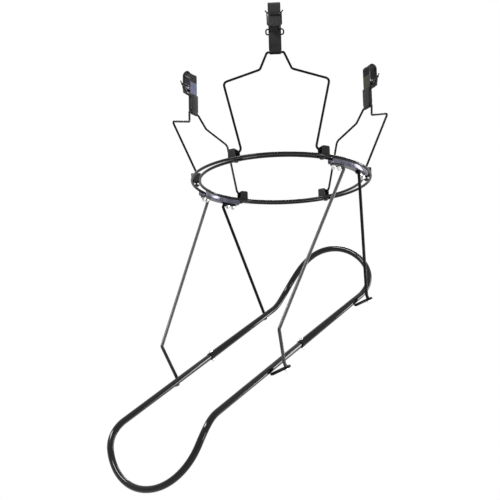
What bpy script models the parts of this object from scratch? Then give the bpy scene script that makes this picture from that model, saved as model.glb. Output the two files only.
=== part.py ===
"""Return chute of bent tube and wire that hangs below a round support tube.

Three over-centre clips grip the support tube.  Each clip carries a wire bracket, whose two ends sit in
plastic guide blocks.  The blocks ride on a double-rod ring and keep it level while it turns, and the ring
carries a sloping tubular chute on four hangers.

The origin is the centre of the support tube's circle, +Z is up and the chute's exit is towards -Y.  One
clip station is modelled as it would stand at the -Y side and is then turned about Z to each of its three
places.  Lengths are metres, and the support tube itself is not part of the model.
"""

import math

import bmesh
import bpy
from mathutils import Matrix, Vector

# Support tube that the clips hold, and the three clip stations round it
SUPPORT_CIRCLE_R = 0.2365
SUPPORT_TUBE_R = 0.008
STATION_COUNT = 3
FIRST_STATION_DEG = 36.6

# Clearances and overruns
SEAT_GAP = 0.0003
RUN_GAP = 0.00035
PIN_GAP = 0.0003
CUT_OVERRUN = 0.001

# Strap over the support tube, with its hooked lip
STRAP_WIDTH = 0.025
STRAP_THICKNESS = 0.0024
STRAP_TUBE_GAP = 0.0004
STRAP_LEG_DROP = 0.0152
STRAP_TAIL_WIDTH = 0.016
STRAP_TAIL_DEPTH = 0.024
LIP_R = 0.0034
LIP_SWEEP_DEG = 140

# Moulded clip body and its knuckle on the bracket's top bar
BODY_TOP_DROP = 0.0463
BODY_THICKNESS = 0.0088
BODY_STEP_DROP = 0.076
BODY_STEP = 0.0007
KNUCKLE_WALL = 0.0014
KNUCKLE_WIDTH = 0.022
KNUCKLE_MOUTH_SHARE = 0.8
KNUCKLE_MOUTH_DEG = -50

# Toggle wire that carries the lever
TOGGLE_WIRE_R = 0.0015
TOGGLE_BEND_R = 0.0038
TOGGLE_TOP_BEND_R = 0.0016
TOGGLE_ARM_SPACING = 0.017
TOGGLE_LOOP_SPACING = 0.035
TOGGLE_LOOP_HEIGHT = 0.0088
TOGGLE_END_SPACING = 0.020
TOGGLE_ANCHOR_DROP = 0.0525
LEVER_PIVOT_OUT = 0.009
LEVER_PIVOT_DROP = 0.025

# Clamp lever
LEVER_PLATE = 0.0015
LEVER_BARREL_R = 0.003
LEVER_BARREL_WIDTH = 0.014
LEVER_BODY_WIDTH = 0.0248
LEVER_TAB_WIDTH = 0.0295
LEVER_HEIGHT = 0.0165
LEVER_TAB_HEIGHT = 0.0033
LEVER_SHOULDER = 0.001
LEVER_CORNER_R = 0.0032
LEVER_CROWN = 0.0031
LEVER_RIDGE_OUT = 0.0026
LEVER_TOE_OUT = -0.0018
FINGER_HOLE_R = 0.0015
FINGER_HOLE_DROP = 0.0108

# Bail that joins the lever to the strap's lip
BAIL_WIRE_R = 0.00125
BAIL_FOOT_IN = 0.006
BAIL_FOOT_DROP = 0.0115
BAIL_SIDE_GAP = 0.0003
BAIL_EAR_OUT = 0.0035
BAIL_EAR_RISE = 0.0048
BAIL_EAR_BEND_R = 0.0015
BAIL_FOOT_BEND_R = 0.0013
EAR_EDGE = 0.0028

# Wire bracket, from its top bar down to the two guide blocks
BRACKET_WIRE_R = 0.0024
BRACKET_BEND_R = 0.008
BRACKET_FOOT_BEND_R = 0.0085
BRACKET_BAR_DROP = 0.0897
BRACKET_BAR_WIDTH = 0.0336
BRACKET_NECK_WIDTH = 0.0636
BRACKET_NECK_DROP = 0.1206
BRACKET_SHOULDER_WIDTH = 0.2106
BRACKET_SHOULDER_DROP = 0.1420
BRACKET_FOOT_WIDTH = 0.147
BRACKET_END_WIDTH = 0.1938
BRACKET_AXIS_CIRCLE_R = 0.1604

# Double-rod ring
RING_DROP = 0.286
ROD_R = 0.003
OUTER_ROD_CIRCLE_R = 0.1891
INNER_ROD_CIRCLE_R = 0.1728
ROD_STEPS = 30

# Guide blocks on the ring and their keeper bolts
BLOCK_STATION_DEG = 29.7
BLOCK_LENGTH = 0.017
BLOCK_WIDTH = 0.0205
BLOCK_HEIGHT = 0.0185
BLOCK_BASE_RISE = 0.0015
BLOCK_CORNER_R = 0.003
BLOCK_AXIS_RISE = 0.013
MOUTH_DEPTH = 0.0072
MOUTH_WIDTH = 0.0155
MOUTH_FLOOR_RISE = 0.0037
MOUTH_HEIGHT = 0.0138
KEEPER_SHANK_R = 0.002
KEEPER_HEAD_R = 0.0034
KEEPER_HEAD_HEIGHT = 0.0024
KEEPER_OFFSET = 0.0048
KEEPER_WASHER_R = 0.0066
KEEPER_WASHER_HEIGHT = 0.0012
KEEPER_NUT_R = 0.0048
KEEPER_NUT_HEIGHT = 0.0022
KEEPER_TIP = 0.0004

# Saddles that join the half rods and carry the hangers
SADDLE_WALL = 0.0015
SADDLE_HALF_SPAN_DEG = 19
SADDLE_DEPTH = 0.0097
SADDLE_CORNER_R = 0.0032
SADDLE_STEPS = 12

# Bolts of the saddles and the feet
BOLT_R = 0.003
BOLT_HEAD_R = 0.0049
BOLT_HEAD_HEIGHT = 0.0022
BOLT_NUT_HEIGHT = 0.0045
BOLT_TIP = 0.003
FOOT_BOLT_R = 0.0018
FOOT_BOLT_REACH = 0.007
FOOT_BOLT_HEAD_R = 0.0052
FOOT_BOLT_HEAD_HEIGHT = 0.0045

# Hangers
HANGER_R = 0.00325
HANGER_BEND_R = 0.0045
HANGER_HOOK = 0.0066
HANGER_TAB_THICKNESS = 0.003
HANGER_TAB_WIDTH = 0.012
HANGER_TAB_LENGTH = 0.033
HANGER_TAB_OFFSET = 0.001
TAB_BOLT_SHARES = (0.37, 0.8)
FRONT_HANGER_TOP_DEG = 8.6
REAR_HANGER_TOP_DEG = -6.5
HANGER_TOP_CIRCLE_R = 0.1855
FRONT_KINK_OUT = 0.1493
FRONT_KINK_REACH = 0.2109
FRONT_KINK_DROP = 0.6465

# Chute track: a closed loop of tube, folded up at the rear and down at the front
TRACK_WIDTH = 0.232
TRACK_SLOPE_DEG = 30.3
TRACK_MIDDLE_REACH = 0.1017
TRACK_MIDDLE_DROP = 0.6597
TRACK_FOLD_SPACING = 0.6441
REAR_FOLD_R = 0.1192
REAR_FOLD_DEG = 79.7
REAR_LENGTH = 0.0667
FRONT_FOLD_R = 0.0868
FRONT_FOLD_DEG = 48.6
FRONT_LENGTH = 0.1092
TRACK_CORNER_SHARE = 0.99
TRACK_TUBE_R = 0.00635
TRACK_TUBE_WALL = 0.0010
SOCKET_R = 0.0075
SOCKET_LENGTH = 0.040
SOCKET_OVERLAP_GAP = 0.004
SWAGE_LENGTH = 0.203
SWAGE_NECK_SHARE = 0.72
JOINT_REACH = 0.105
JOINT_BOLT_INSET = 0.009
JOINT_BOLT_R = 0.0022
JOINT_BOLT_HEAD_R = 0.0042
JOINT_BOLT_HEAD_HEIGHT = 0.0024
JOINT_BOLT_NUT_HEIGHT = 0.0032

# Foot plates under the rails
FRONT_FOOT_REACH = 0.1817
REAR_FOOT_REACH = -0.1011
FOOT_STAND_OUT = 0.0215
FOOT_STAND_RISE = 0.009
PLATE_THICKNESS = 0.003
PLATE_WIDTH = 0.012
PLATE_LENGTH = 0.043
PLATE_END = 0.0095
PLATE_TURN_DEG = 33

# Sizes worked out from the ones above
STRAP_R = SUPPORT_TUBE_R + STRAP_TUBE_GAP + STRAP_THICKNESS / 2
ROD_CIRCLE_R = (OUTER_ROD_CIRCLE_R + INNER_ROD_CIRCLE_R) / 2
ROD_OFFSET = (OUTER_ROD_CIRCLE_R - INNER_ROD_CIRCLE_R) / 2
BAR_OUT = -(STRAP_R + BODY_STEP)
BRACKET_BAR_CIRCLE_R = SUPPORT_CIRCLE_R + BAR_OUT
BLOCK_BASE_Z = BLOCK_BASE_RISE - RING_DROP
BRACKET_AXIS_Z = BLOCK_AXIS_RISE - RING_DROP
MOUTH_FLOOR_Z = MOUTH_FLOOR_RISE - RING_DROP
SADDLE_INNER_HALF = ROD_OFFSET - SADDLE_WALL / 2
SADDLE_OUTER_HALF = ROD_OFFSET + SADDLE_WALL / 2
SADDLE_TOP_Z = -RING_DROP - ROD_R - SEAT_GAP
SADDLE_BOTTOM_Z = SADDLE_TOP_Z - SADDLE_DEPTH
TRACK_SLOPE = math.radians(TRACK_SLOPE_DEG)

STRAIGHT_UP = Vector((0, 0, 1))


def side_point(out, height, across=0):
    """A point of the -Y station, by its distance outside the support circle."""
    return Vector((across, -(SUPPORT_CIRCLE_R + out), height))


def circle_point(radius, degrees, height):
    """A point on a level circle, by its angle from -Y towards +X."""
    angle = math.radians(degrees)
    return Vector((radius * math.sin(angle), -radius * math.cos(angle), height))


def clear_scene():
    """Remove whatever objects the file opens with."""
    for thing in list(bpy.data.objects):
        bpy.data.objects.remove(thing)


# Materials

def make_material(name, colour, roughness, metallic):
    """One Principled material."""
    material = bpy.data.materials.new(name)
    material.use_nodes = True
    shader = material.node_tree.nodes["Principled BSDF"]
    shader.inputs["Base Color"].default_value = (*colour, 1)
    shader.inputs["Roughness"].default_value = roughness
    shader.inputs["Metallic"].default_value = metallic
    material.diffuse_color = (*colour, 1)
    return material


FINISHES = {
    "gloss_black": ((0.012, 0.012, 0.014), 0.22, 0.0),
    "satin_grey": ((0.10, 0.10, 0.105), 0.38, 0.3),
    "dark_plastic": ((0.045, 0.045, 0.048), 0.55, 0.0),
    "bright_zinc": ((0.52, 0.52, 0.56), 0.30, 1.0),
    "pale_zinc": ((0.66, 0.65, 0.60), 0.35, 1.0),
    "black_bolt": ((0.02, 0.02, 0.022), 0.25, 0.6),
}


# Mesh tools

def as_object(mesh, name="work"):
    """Link a mesh to the scene as a new object."""
    thing = bpy.data.objects.new(name, mesh)
    bpy.context.collection.objects.link(thing)
    return thing


def finish_mesh(build, name="work"):
    """Turn a bmesh into a mesh whose faces point out."""
    bmesh.ops.recalc_face_normals(build, faces=build.faces)
    mesh = bpy.data.meshes.new(name)
    build.to_mesh(mesh)
    build.free()
    return mesh


def baked(thing):
    """The evaluated mesh of an object, which is then removed."""
    graph = bpy.context.evaluated_depsgraph_get()
    mesh = bpy.data.meshes.new_from_object(thing.evaluated_get(graph))
    bpy.data.objects.remove(thing)
    return mesh


def combine(base, joined=(), cut=(), kept=()):
    """Union, subtract and intersect meshes with exact booleans."""
    body = as_object(base)
    tools = []
    for operation, meshes in (("UNION", joined), ("INTERSECT", kept), ("DIFFERENCE", cut)):
        for mesh in meshes:
            tool = as_object(mesh)
            tools.append(tool)
            step = body.modifiers.new(operation.title(), "BOOLEAN")
            step.solver = "EXACT"
            step.operation = operation
            step.object = tool
    bpy.context.view_layer.update()
    mesh = baked(body)
    for tool in tools:
        bpy.data.objects.remove(tool)
    return mesh


def mirrored(mesh, axis_scale=(-1, 1, 1)):
    """A mirror image of a mesh, across X unless told otherwise."""
    build = bmesh.new()
    build.from_mesh(mesh)
    bmesh.ops.scale(build, vec=axis_scale, verts=build.verts)
    return finish_mesh(build)


def prism(outline, low, high, place):
    """Extrude a 2-D outline from one value of the third direction to another."""
    build = bmesh.new()
    rims = [[build.verts.new(place(a, b, c)) for a, b in outline] for c in (low, high)]
    build.faces.new(rims[0])
    build.faces.new(reversed(rims[1]))
    count = len(outline)
    for index in range(count):
        after = (index + 1) % count
        build.faces.new((rims[0][index], rims[0][after], rims[1][after], rims[1][index]))
    return finish_mesh(build)


def profile_prism(outline, half_width):
    """Extrude a (distance out, height) outline across the station, evenly both ways."""
    return prism(outline, -half_width, half_width, side_point)


def face_prism(outline, low_out, high_out):
    """Extrude an (across, height) outline along the station's outward direction."""
    return prism(outline, low_out, high_out, lambda across, height, out: side_point(out, height, across))


def cylinder(start, end, radius, sides):
    """A closed cylinder from one point to another."""
    start = Vector(start)
    end = Vector(end)
    along = end - start
    turn = STRAIGHT_UP.rotation_difference(along.normalized()).to_matrix().to_4x4()
    build = bmesh.new()
    bmesh.ops.create_cone(
        build, cap_ends=True, segments=sides, radius1=radius, radius2=radius, depth=along.length,
        matrix=Matrix.Translation((start + end) / 2) @ turn)
    return finish_mesh(build)


def arc(centre, radius, start_deg, sweep_deg, steps):
    """Points of a plane arc, both ends included."""
    points = []
    for index in range(steps + 1):
        angle = math.radians(start_deg + sweep_deg * index / steps)
        points.append((centre[0] + radius * math.cos(angle), centre[1] + radius * math.sin(angle)))
    return points


def rounded_box_outline(low, high, radii, steps=3):
    """A rectangle with its own radius at each corner: low-low, high-low, high-high, low-high."""
    corners = ((low[0], low[1], 1, 1, 180), (high[0], low[1], -1, 1, 270),
               (high[0], high[1], -1, -1, 0), (low[0], high[1], 1, -1, 90))
    points = []
    for (across, up, side, lift, start), radius in zip(corners, radii):
        if radius:
            points += arc((across + side * radius, up + lift * radius), radius, start, 90, steps)
        else:
            points.append((across, up))
    return points


def strip_outline(line, thickness):
    """The outline of a strip of even thickness along a plane line."""
    sides = ([], [])
    for index, point in enumerate(line):
        before = Vector(line[max(index - 1, 0)])
        after = Vector(line[min(index + 1, len(line) - 1)])
        along = (after - before).normalized()
        for side, half in zip(sides, (thickness / 2, -thickness / 2)):
            side.append((point[0] - along.y * half, point[1] + along.x * half))
    return sides[0] + sides[1][::-1]


def bent_path(corners, radii, step_deg=22.5):
    """A line through corner points with a round bend of its own radius at each inner corner."""
    points = [Vector(corners[0])]
    for index in range(1, len(corners) - 1):
        corner = Vector(corners[index])
        back = (Vector(corners[index - 1]) - corner).normalized()
        ahead = (Vector(corners[index + 1]) - corner).normalized()
        opening = back.angle(ahead)
        turn = math.pi - opening
        radius = radii[index - 1]
        trim = radius / math.tan(opening / 2)
        centre = corner + (back + ahead).normalized() * (radius / math.sin(opening / 2))
        start = corner + back * trim - centre
        axis = back.cross(ahead).normalized()
        steps = max(2, round(math.degrees(turn) / step_deg))
        for count in range(steps + 1):
            points.append(centre + Matrix.Rotation(-turn * count / steps, 3, axis) @ start)
    points.append(Vector(corners[-1]))
    return points


def wire(points, radius, resolution=2):
    """A solid round wire along a line, with flat ends."""
    curve = bpy.data.curves.new("wire", "CURVE")
    curve.dimensions = "3D"
    curve.bevel_depth = radius
    curve.bevel_resolution = resolution
    curve.use_fill_caps = True
    spline = curve.splines.new("POLY")
    spline.points.add(len(points) - 1)
    for knot, point in zip(spline.points, points):
        knot.co = (*point, 1)
    mesh = baked(as_object(curve))
    build = bmesh.new()
    build.from_mesh(mesh)
    bmesh.ops.remove_doubles(build, verts=build.verts, dist=SEAT_GAP / 100)
    return finish_mesh(build)


def hollow_tube(points, outer_radii, inner_radii, sides):
    """An open tube along a line, with its own outer and inner radius at each point."""
    build = bmesh.new()
    skins = ([], [])
    normal = None
    turns = [2 * math.pi * count / sides for count in range(sides)]
    for index, point in enumerate(points):
        before = points[max(index - 1, 0)]
        after = points[min(index + 1, len(points) - 1)]
        along = (after - before).normalized()
        normal = normal or along.orthogonal()
        normal = (normal - along * normal.dot(along)).normalized()
        across = along.cross(normal)
        for skin, radius in zip(skins, (outer_radii[index], inner_radii[index])):
            spokes = [normal * math.cos(turn) + across * math.sin(turn) for turn in turns]
            skin.append([build.verts.new(point + spoke * radius) for spoke in spokes])
    for skin in skins:
        for first, second in zip(skin, skin[1:]):
            join_rims(build, first, second)
    join_rims(build, skins[0][0], skins[1][0])
    join_rims(build, skins[0][-1], skins[1][-1])
    return finish_mesh(build)


def join_rims(build, first, second):
    """Quads between two closed rims of equal count."""
    count = len(first)
    for index in range(count):
        after = (index + 1) % count
        build.faces.new((first[index], first[after], second[after], second[index]))


def bolt(head_top, direction, grip, shank_r, head_r, head_height, nut_height, tip, nut_r=None, dome=False):
    """A bolt with its nut.  The head's underside lies on the grip's start and the nut at its end."""
    down = Vector(direction).normalized()
    seat = Vector(head_top) + down * head_height
    far = seat + down * grip
    end = far + down * (nut_height + tip)
    nut_r = nut_r or head_r
    shank = cylinder(seat - down * (head_height / 2), end, shank_r, 8)
    nut = cylinder(far, far + down * nut_height, nut_r, 6)
    if dome:
        head = cylinder(Vector(head_top) + down * (head_height / 2), seat, head_r, 12)
        crown = cylinder(head_top, seat - down * (head_height / 4), head_r * math.cos(math.pi / 4), 12)
        return combine(shank, joined=(head, crown, nut))
    head = cylinder(head_top, seat, head_r, 6)
    return combine(shank, joined=(head, nut))


# Placing nodes

class Frame:
    """An empty, or a node, that carries others, with its place in the station's own frame."""

    def __init__(self, thing, origin):
        self.thing = thing
        self.origin = Vector(origin)


def make_empty(name, origin, parent=None, turn_deg=0):
    """An empty on a joint's axis or at a station's centre."""
    thing = bpy.data.objects.new(name, None)
    bpy.context.collection.objects.link(thing)
    thing.rotation_euler.z = math.radians(turn_deg)
    base = parent.origin if parent else Vector()
    thing.location = Vector(origin) - base
    if parent:
        thing.parent = parent.thing
    return Frame(thing, origin)


def place(name, mesh, finish, origin=(0, 0, 0), parent=None):
    """Make a node from a mesh, with its origin at the given point of the parent's frame."""
    mesh = mesh.copy()
    mesh.name = name
    mesh.transform(Matrix.Translation(-Vector(origin)))
    mesh.materials.clear()
    mesh.materials.append(make_material(name, *FINISHES[finish]))
    mesh.shade_smooth()
    mesh.set_sharp_from_angle(angle=math.radians(40))
    thing = as_object(mesh, name)
    base = parent.origin if parent else Vector()
    thing.location = Vector(origin) - base
    if parent:
        thing.parent = parent.thing
    return Frame(thing, origin)


# Clip

BAR_CENTRE = side_point(BAR_OUT, -BRACKET_BAR_DROP)
PIVOT_CENTRE = side_point(LEVER_PIVOT_OUT, -LEVER_PIVOT_DROP)
BAIL_FOOT_OUT = LEVER_PIVOT_OUT - BAIL_FOOT_IN
BAIL_FOOT_Z = -LEVER_PIVOT_DROP - BAIL_FOOT_DROP
BAIL_CENTRE = side_point(BAIL_FOOT_OUT, BAIL_FOOT_Z)
BAIL_ARM_ACROSS = STRAP_WIDTH / 2 + BAIL_SIDE_GAP + BAIL_WIRE_R
LIP_CENTRE = (STRAP_R + LIP_R, -STRAP_LEG_DROP)
HOOK_OUT = LIP_CENTRE[0]
HOOK_Z = LIP_CENTRE[1] - (LIP_R - STRAP_THICKNESS / 2 - BAIL_WIRE_R - SEAT_GAP)


def strap_mesh():
    """Strap over the tube, with its lip outside and a narrower tail in the body."""
    line = [(-STRAP_R, -BODY_TOP_DROP - CUT_OVERRUN / 2), (-STRAP_R, -BODY_TOP_DROP / 2)]
    line += arc((0, 0), STRAP_R, 180, -180, 12)
    line += arc(LIP_CENTRE, LIP_R, 180, LIP_SWEEP_DEG, 8)
    band = profile_prism(strip_outline(line, STRAP_THICKNESS), STRAP_WIDTH / 2)
    shoulder = -BODY_TOP_DROP + SEAT_GAP
    trim = profile_prism(box_outline(-STRAP_R, STRAP_THICKNESS, shoulder - BODY_STEP * 4, shoulder), STRAP_WIDTH)
    tail_low = -BODY_TOP_DROP - STRAP_TAIL_DEPTH
    tail = profile_prism(box_outline(-STRAP_R, STRAP_THICKNESS / 2, tail_low, shoulder + STRAP_THICKNESS),
                         STRAP_TAIL_WIDTH / 2)
    return combine(combine(band, cut=(trim,)), joined=(tail,))


def box_outline(centre, half, low, high):
    """A rectangle by its middle, half width, low and high side."""
    return [(centre - half, low), (centre + half, low), (centre + half, high), (centre - half, high)]


def body_mesh():
    """Moulded body with a pocket for the strap, side holes for the toggle wire and a knuckle below."""
    knuckle_r = BRACKET_WIRE_R + RUN_GAP + KNUCKLE_WALL
    back = -STRAP_R - BODY_THICKNESS / 2
    front = -STRAP_R + BODY_THICKNESS / 2
    bar_z = -BRACKET_BAR_DROP
    outline = [(back, -BODY_TOP_DROP), (back, bar_z + knuckle_r), (BAR_OUT - knuckle_r, bar_z),
               (BAR_OUT, bar_z - knuckle_r / 4), (BAR_OUT + knuckle_r, bar_z),
               (front - BODY_STEP, bar_z + knuckle_r), (front - BODY_STEP, -BODY_STEP_DROP - BODY_STEP),
               (front, -BODY_STEP_DROP), (front, -BODY_TOP_DROP)]
    half = KNUCKLE_WIDTH / 2
    right_side = [(half, bar_z - knuckle_r * 2), (half, bar_z + knuckle_r),
                  (STRAP_WIDTH / 2, bar_z + knuckle_r + BODY_STEP), (STRAP_WIDTH / 2, -BODY_TOP_DROP)]
    left_side = [(-across, height) for across, height in reversed(right_side)]
    face = face_prism(right_side + left_side, back - BODY_THICKNESS, front + BODY_THICKNESS)
    barrel = cylinder(side_point(BAR_OUT, bar_z, -half), side_point(BAR_OUT, bar_z, half), knuckle_r, 16)
    trunk = combine(profile_prism(outline, STRAP_WIDTH / 2), kept=(face,))
    pocket_low = -BODY_TOP_DROP - STRAP_TAIL_DEPTH - SEAT_GAP
    pocket_outline = box_outline(-STRAP_R, STRAP_THICKNESS / 2 + SEAT_GAP, pocket_low, -BODY_TOP_DROP + CUT_OVERRUN)
    pocket = profile_prism(pocket_outline, STRAP_TAIL_WIDTH / 2 + SEAT_GAP)
    side_holes = []
    for side in (-1, 1):
        inner = side_point(-STRAP_R, -TOGGLE_ANCHOR_DROP, side * (TOGGLE_END_SPACING / 2 - SEAT_GAP))
        outer = side_point(-STRAP_R, -TOGGLE_ANCHOR_DROP, side * (STRAP_WIDTH / 2 + CUT_OVERRUN))
        side_holes.append(cylinder(inner, outer, TOGGLE_WIRE_R + PIN_GAP, 12))
    bore = cylinder(side_point(BAR_OUT, bar_z, -STRAP_WIDTH), side_point(BAR_OUT, bar_z, STRAP_WIDTH),
                    BRACKET_WIRE_R + RUN_GAP, 16)
    mouth_half = BRACKET_WIRE_R * KNUCKLE_MOUTH_SHARE
    slope = math.radians(KNUCKLE_MOUTH_DEG)
    along = Vector((math.cos(slope), math.sin(slope)))
    aside = Vector((-along.y, along.x))
    bar = Vector((BAR_OUT, bar_z))
    far = along * (knuckle_r * 2)
    mouth = [bar - aside * mouth_half, bar - aside * mouth_half + far, bar + aside * mouth_half + far,
             bar + aside * mouth_half]
    mouth_cut = profile_prism([tuple(point) for point in mouth], STRAP_WIDTH)
    return combine(trunk, joined=(barrel,), cut=(pocket, *side_holes, bore, mouth_cut))


def toggle_mesh():
    """Wire that runs from the body's side holes, out in two loops and up to the lever's barrel."""
    fall = (LEVER_PIVOT_OUT + STRAP_R) / (TOGGLE_ANCHOR_DROP - LEVER_PIVOT_DROP)

    def on_plane(across, drop):
        return side_point(LEVER_PIVOT_OUT - fall * (drop - LEVER_PIVOT_DROP), -drop, across)

    loop_drop = TOGGLE_ANCHOR_DROP - TOGGLE_LOOP_HEIGHT
    arm = TOGGLE_ARM_SPACING / 2
    loop = TOGGLE_LOOP_SPACING / 2
    right = [on_plane(TOGGLE_END_SPACING / 2, TOGGLE_ANCHOR_DROP), on_plane(loop, TOGGLE_ANCHOR_DROP),
             on_plane(loop, loop_drop), on_plane(arm, loop_drop), on_plane(arm, LEVER_PIVOT_DROP)]
    left = [Vector((-point.x, point.y, point.z)) for point in reversed(right)]
    radii = [TOGGLE_BEND_R] * 3 + [TOGGLE_TOP_BEND_R] * 2 + [TOGGLE_BEND_R] * 3
    return wire(bent_path(right + left, radii, 30), TOGGLE_WIRE_R, 1)


def lever_mesh():
    """Pressed lever: a bowed plate with two side flanges, a barrel on the pivot and a wider thumb tab."""
    out = LEVER_PIVOT_OUT
    top = -LEVER_PIVOT_DROP + LEVER_CROWN
    foot = -LEVER_PIVOT_DROP - LEVER_HEIGHT
    waist = (-LEVER_PIVOT_DROP + foot) / 2
    ridge = out + LEVER_RIDGE_OUT
    toe = out + LEVER_TOE_OUT
    line = [(out + LEVER_PLATE, top), (ridge, top - LEVER_PLATE), (ridge, -LEVER_PIVOT_DROP),
            ((ridge + toe) / 2 + LEVER_PLATE / 3, waist), (toe, foot)]
    plate = profile_prism(strip_outline(line, LEVER_PLATE), LEVER_TAB_WIDTH)
    upper = top - LEVER_PLATE / 3
    lower = foot + LEVER_PLATE / 3
    flange = [(out + LEVER_PLATE, upper), (ridge, top - LEVER_PLATE), (ridge, -LEVER_PIVOT_DROP),
              ((ridge + toe) / 2, waist), (toe, lower), (BAIL_FOOT_OUT + EAR_EDGE / 2, lower),
              (BAIL_FOOT_OUT - EAR_EDGE, BAIL_FOOT_Z - EAR_EDGE / 2),
              (BAIL_FOOT_OUT - EAR_EDGE, BAIL_FOOT_Z + EAR_EDGE / 2),
              (out - LEVER_BARREL_R, -LEVER_PIVOT_DROP), (out - LEVER_BARREL_R, upper)]
    half = LEVER_BODY_WIDTH / 2
    edge = half - SEAT_GAP
    flanges = [prism(flange, side * (edge - LEVER_PLATE), side * edge, side_point) for side in (-1, 1)]
    barrel_ends = [side_point(out, -LEVER_PIVOT_DROP, side * LEVER_BARREL_WIDTH / 2) for side in (-1, 1)]
    barrel = cylinder(*barrel_ends, LEVER_BARREL_R, 16)
    tab = LEVER_TAB_WIDTH / 2
    tab_top = foot + LEVER_TAB_HEIGHT
    front = [(half, top + CUT_OVERRUN), (half, tab_top + LEVER_SHOULDER), (tab, tab_top)]
    front += arc((tab - LEVER_CORNER_R, foot - SEAT_GAP + LEVER_CORNER_R), LEVER_CORNER_R, 0, -90, 3)
    front += [(-across, height) for across, height in reversed(front)]
    blank = face_prism(front, -LEVER_PIVOT_OUT, LEVER_PIVOT_OUT * 3)
    bore = cylinder(side_point(out, -LEVER_PIVOT_DROP, -tab), side_point(out, -LEVER_PIVOT_DROP, tab),
                    TOGGLE_WIRE_R + PIN_GAP, 12)
    finger_z = -LEVER_PIVOT_DROP - FINGER_HOLE_DROP
    finger = cylinder(side_point(0, finger_z), side_point(LEVER_PIVOT_OUT * 3, finger_z), FINGER_HOLE_R, 10)
    feet = cylinder(side_point(BAIL_FOOT_OUT, BAIL_FOOT_Z, -tab), side_point(BAIL_FOOT_OUT, BAIL_FOOT_Z, tab),
                    BAIL_WIRE_R + PIN_GAP, 12)
    return combine(combine(plate, kept=(blank,)), joined=(*flanges, barrel), cut=(bore, finger, feet))


def bail_mesh():
    """Bail with a crossbar in the lip's trough, turned-up ends and two arms down to the lever's flanges."""
    across = BAIL_ARM_ACROSS
    ear = across + BAIL_EAR_OUT
    bar = [side_point(HOOK_OUT, HOOK_Z + BAIL_EAR_RISE, ear), side_point(HOOK_OUT, HOOK_Z, across),
           side_point(HOOK_OUT, HOOK_Z, -across), side_point(HOOK_OUT, HOOK_Z + BAIL_EAR_RISE, -ear)]
    crossbar = wire(bent_path(bar, [BAIL_EAR_BEND_R] * 2, 30), BAIL_WIRE_R, 1)
    foot_end = TOGGLE_ARM_SPACING / 2 + TOGGLE_WIRE_R + SEAT_GAP * 2
    arms = []
    for side in (-1, 1):
        corners = [side_point(HOOK_OUT, HOOK_Z, side * across), side_point(BAIL_FOOT_OUT, BAIL_FOOT_Z, side * across),
                   side_point(BAIL_FOOT_OUT, BAIL_FOOT_Z, side * foot_end)]
        arms.append(wire(bent_path(corners, [BAIL_FOOT_BEND_R], 30), BAIL_WIRE_R, 1))
    return combine(crossbar, joined=arms)


def bracket_mesh():
    """Bent wire from the clip's bar, out over two shoulders and down to the guide blocks."""
    drop_span = -BRACKET_AXIS_Z - BRACKET_BAR_DROP
    lean = (BRACKET_BAR_CIRCLE_R - BRACKET_AXIS_CIRCLE_R) / drop_span

    def on_plane(width, drop):
        radius = BRACKET_BAR_CIRCLE_R - lean * (drop - BRACKET_BAR_DROP)
        return Vector((width / 2, -radius, -drop))

    right = [on_plane(BRACKET_BAR_WIDTH, BRACKET_BAR_DROP), on_plane(BRACKET_NECK_WIDTH, BRACKET_NECK_DROP),
             on_plane(BRACKET_SHOULDER_WIDTH, BRACKET_SHOULDER_DROP),
             on_plane(BRACKET_FOOT_WIDTH, -BRACKET_AXIS_Z), on_plane(BRACKET_END_WIDTH, -BRACKET_AXIS_Z)]
    left = [Vector((-point.x, point.y, point.z)) for point in right]
    bends = [BRACKET_FOOT_BEND_R, BRACKET_BEND_R, BRACKET_BEND_R, BRACKET_BEND_R / 2]
    return wire(bent_path(right[::-1] + left, bends + bends[::-1]), BRACKET_WIRE_R)


# Guide blocks and keepers

BLOCK_CENTRE = circle_point(ROD_CIRCLE_R, BLOCK_STATION_DEG, 0)
BLOCK_ANGLE = math.radians(BLOCK_STATION_DEG)
BLOCK_ALONG = Vector((math.cos(BLOCK_ANGLE), math.sin(BLOCK_ANGLE), 0))
BLOCK_OUT = Vector((math.sin(BLOCK_ANGLE), -math.cos(BLOCK_ANGLE), 0))


def block_point(along, height, out=0):
    """A point by its place along the ring, its height and its distance out from the ring's middle."""
    return BLOCK_CENTRE + BLOCK_ALONG * along + BLOCK_OUT * out + STRAIGHT_UP * height


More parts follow.
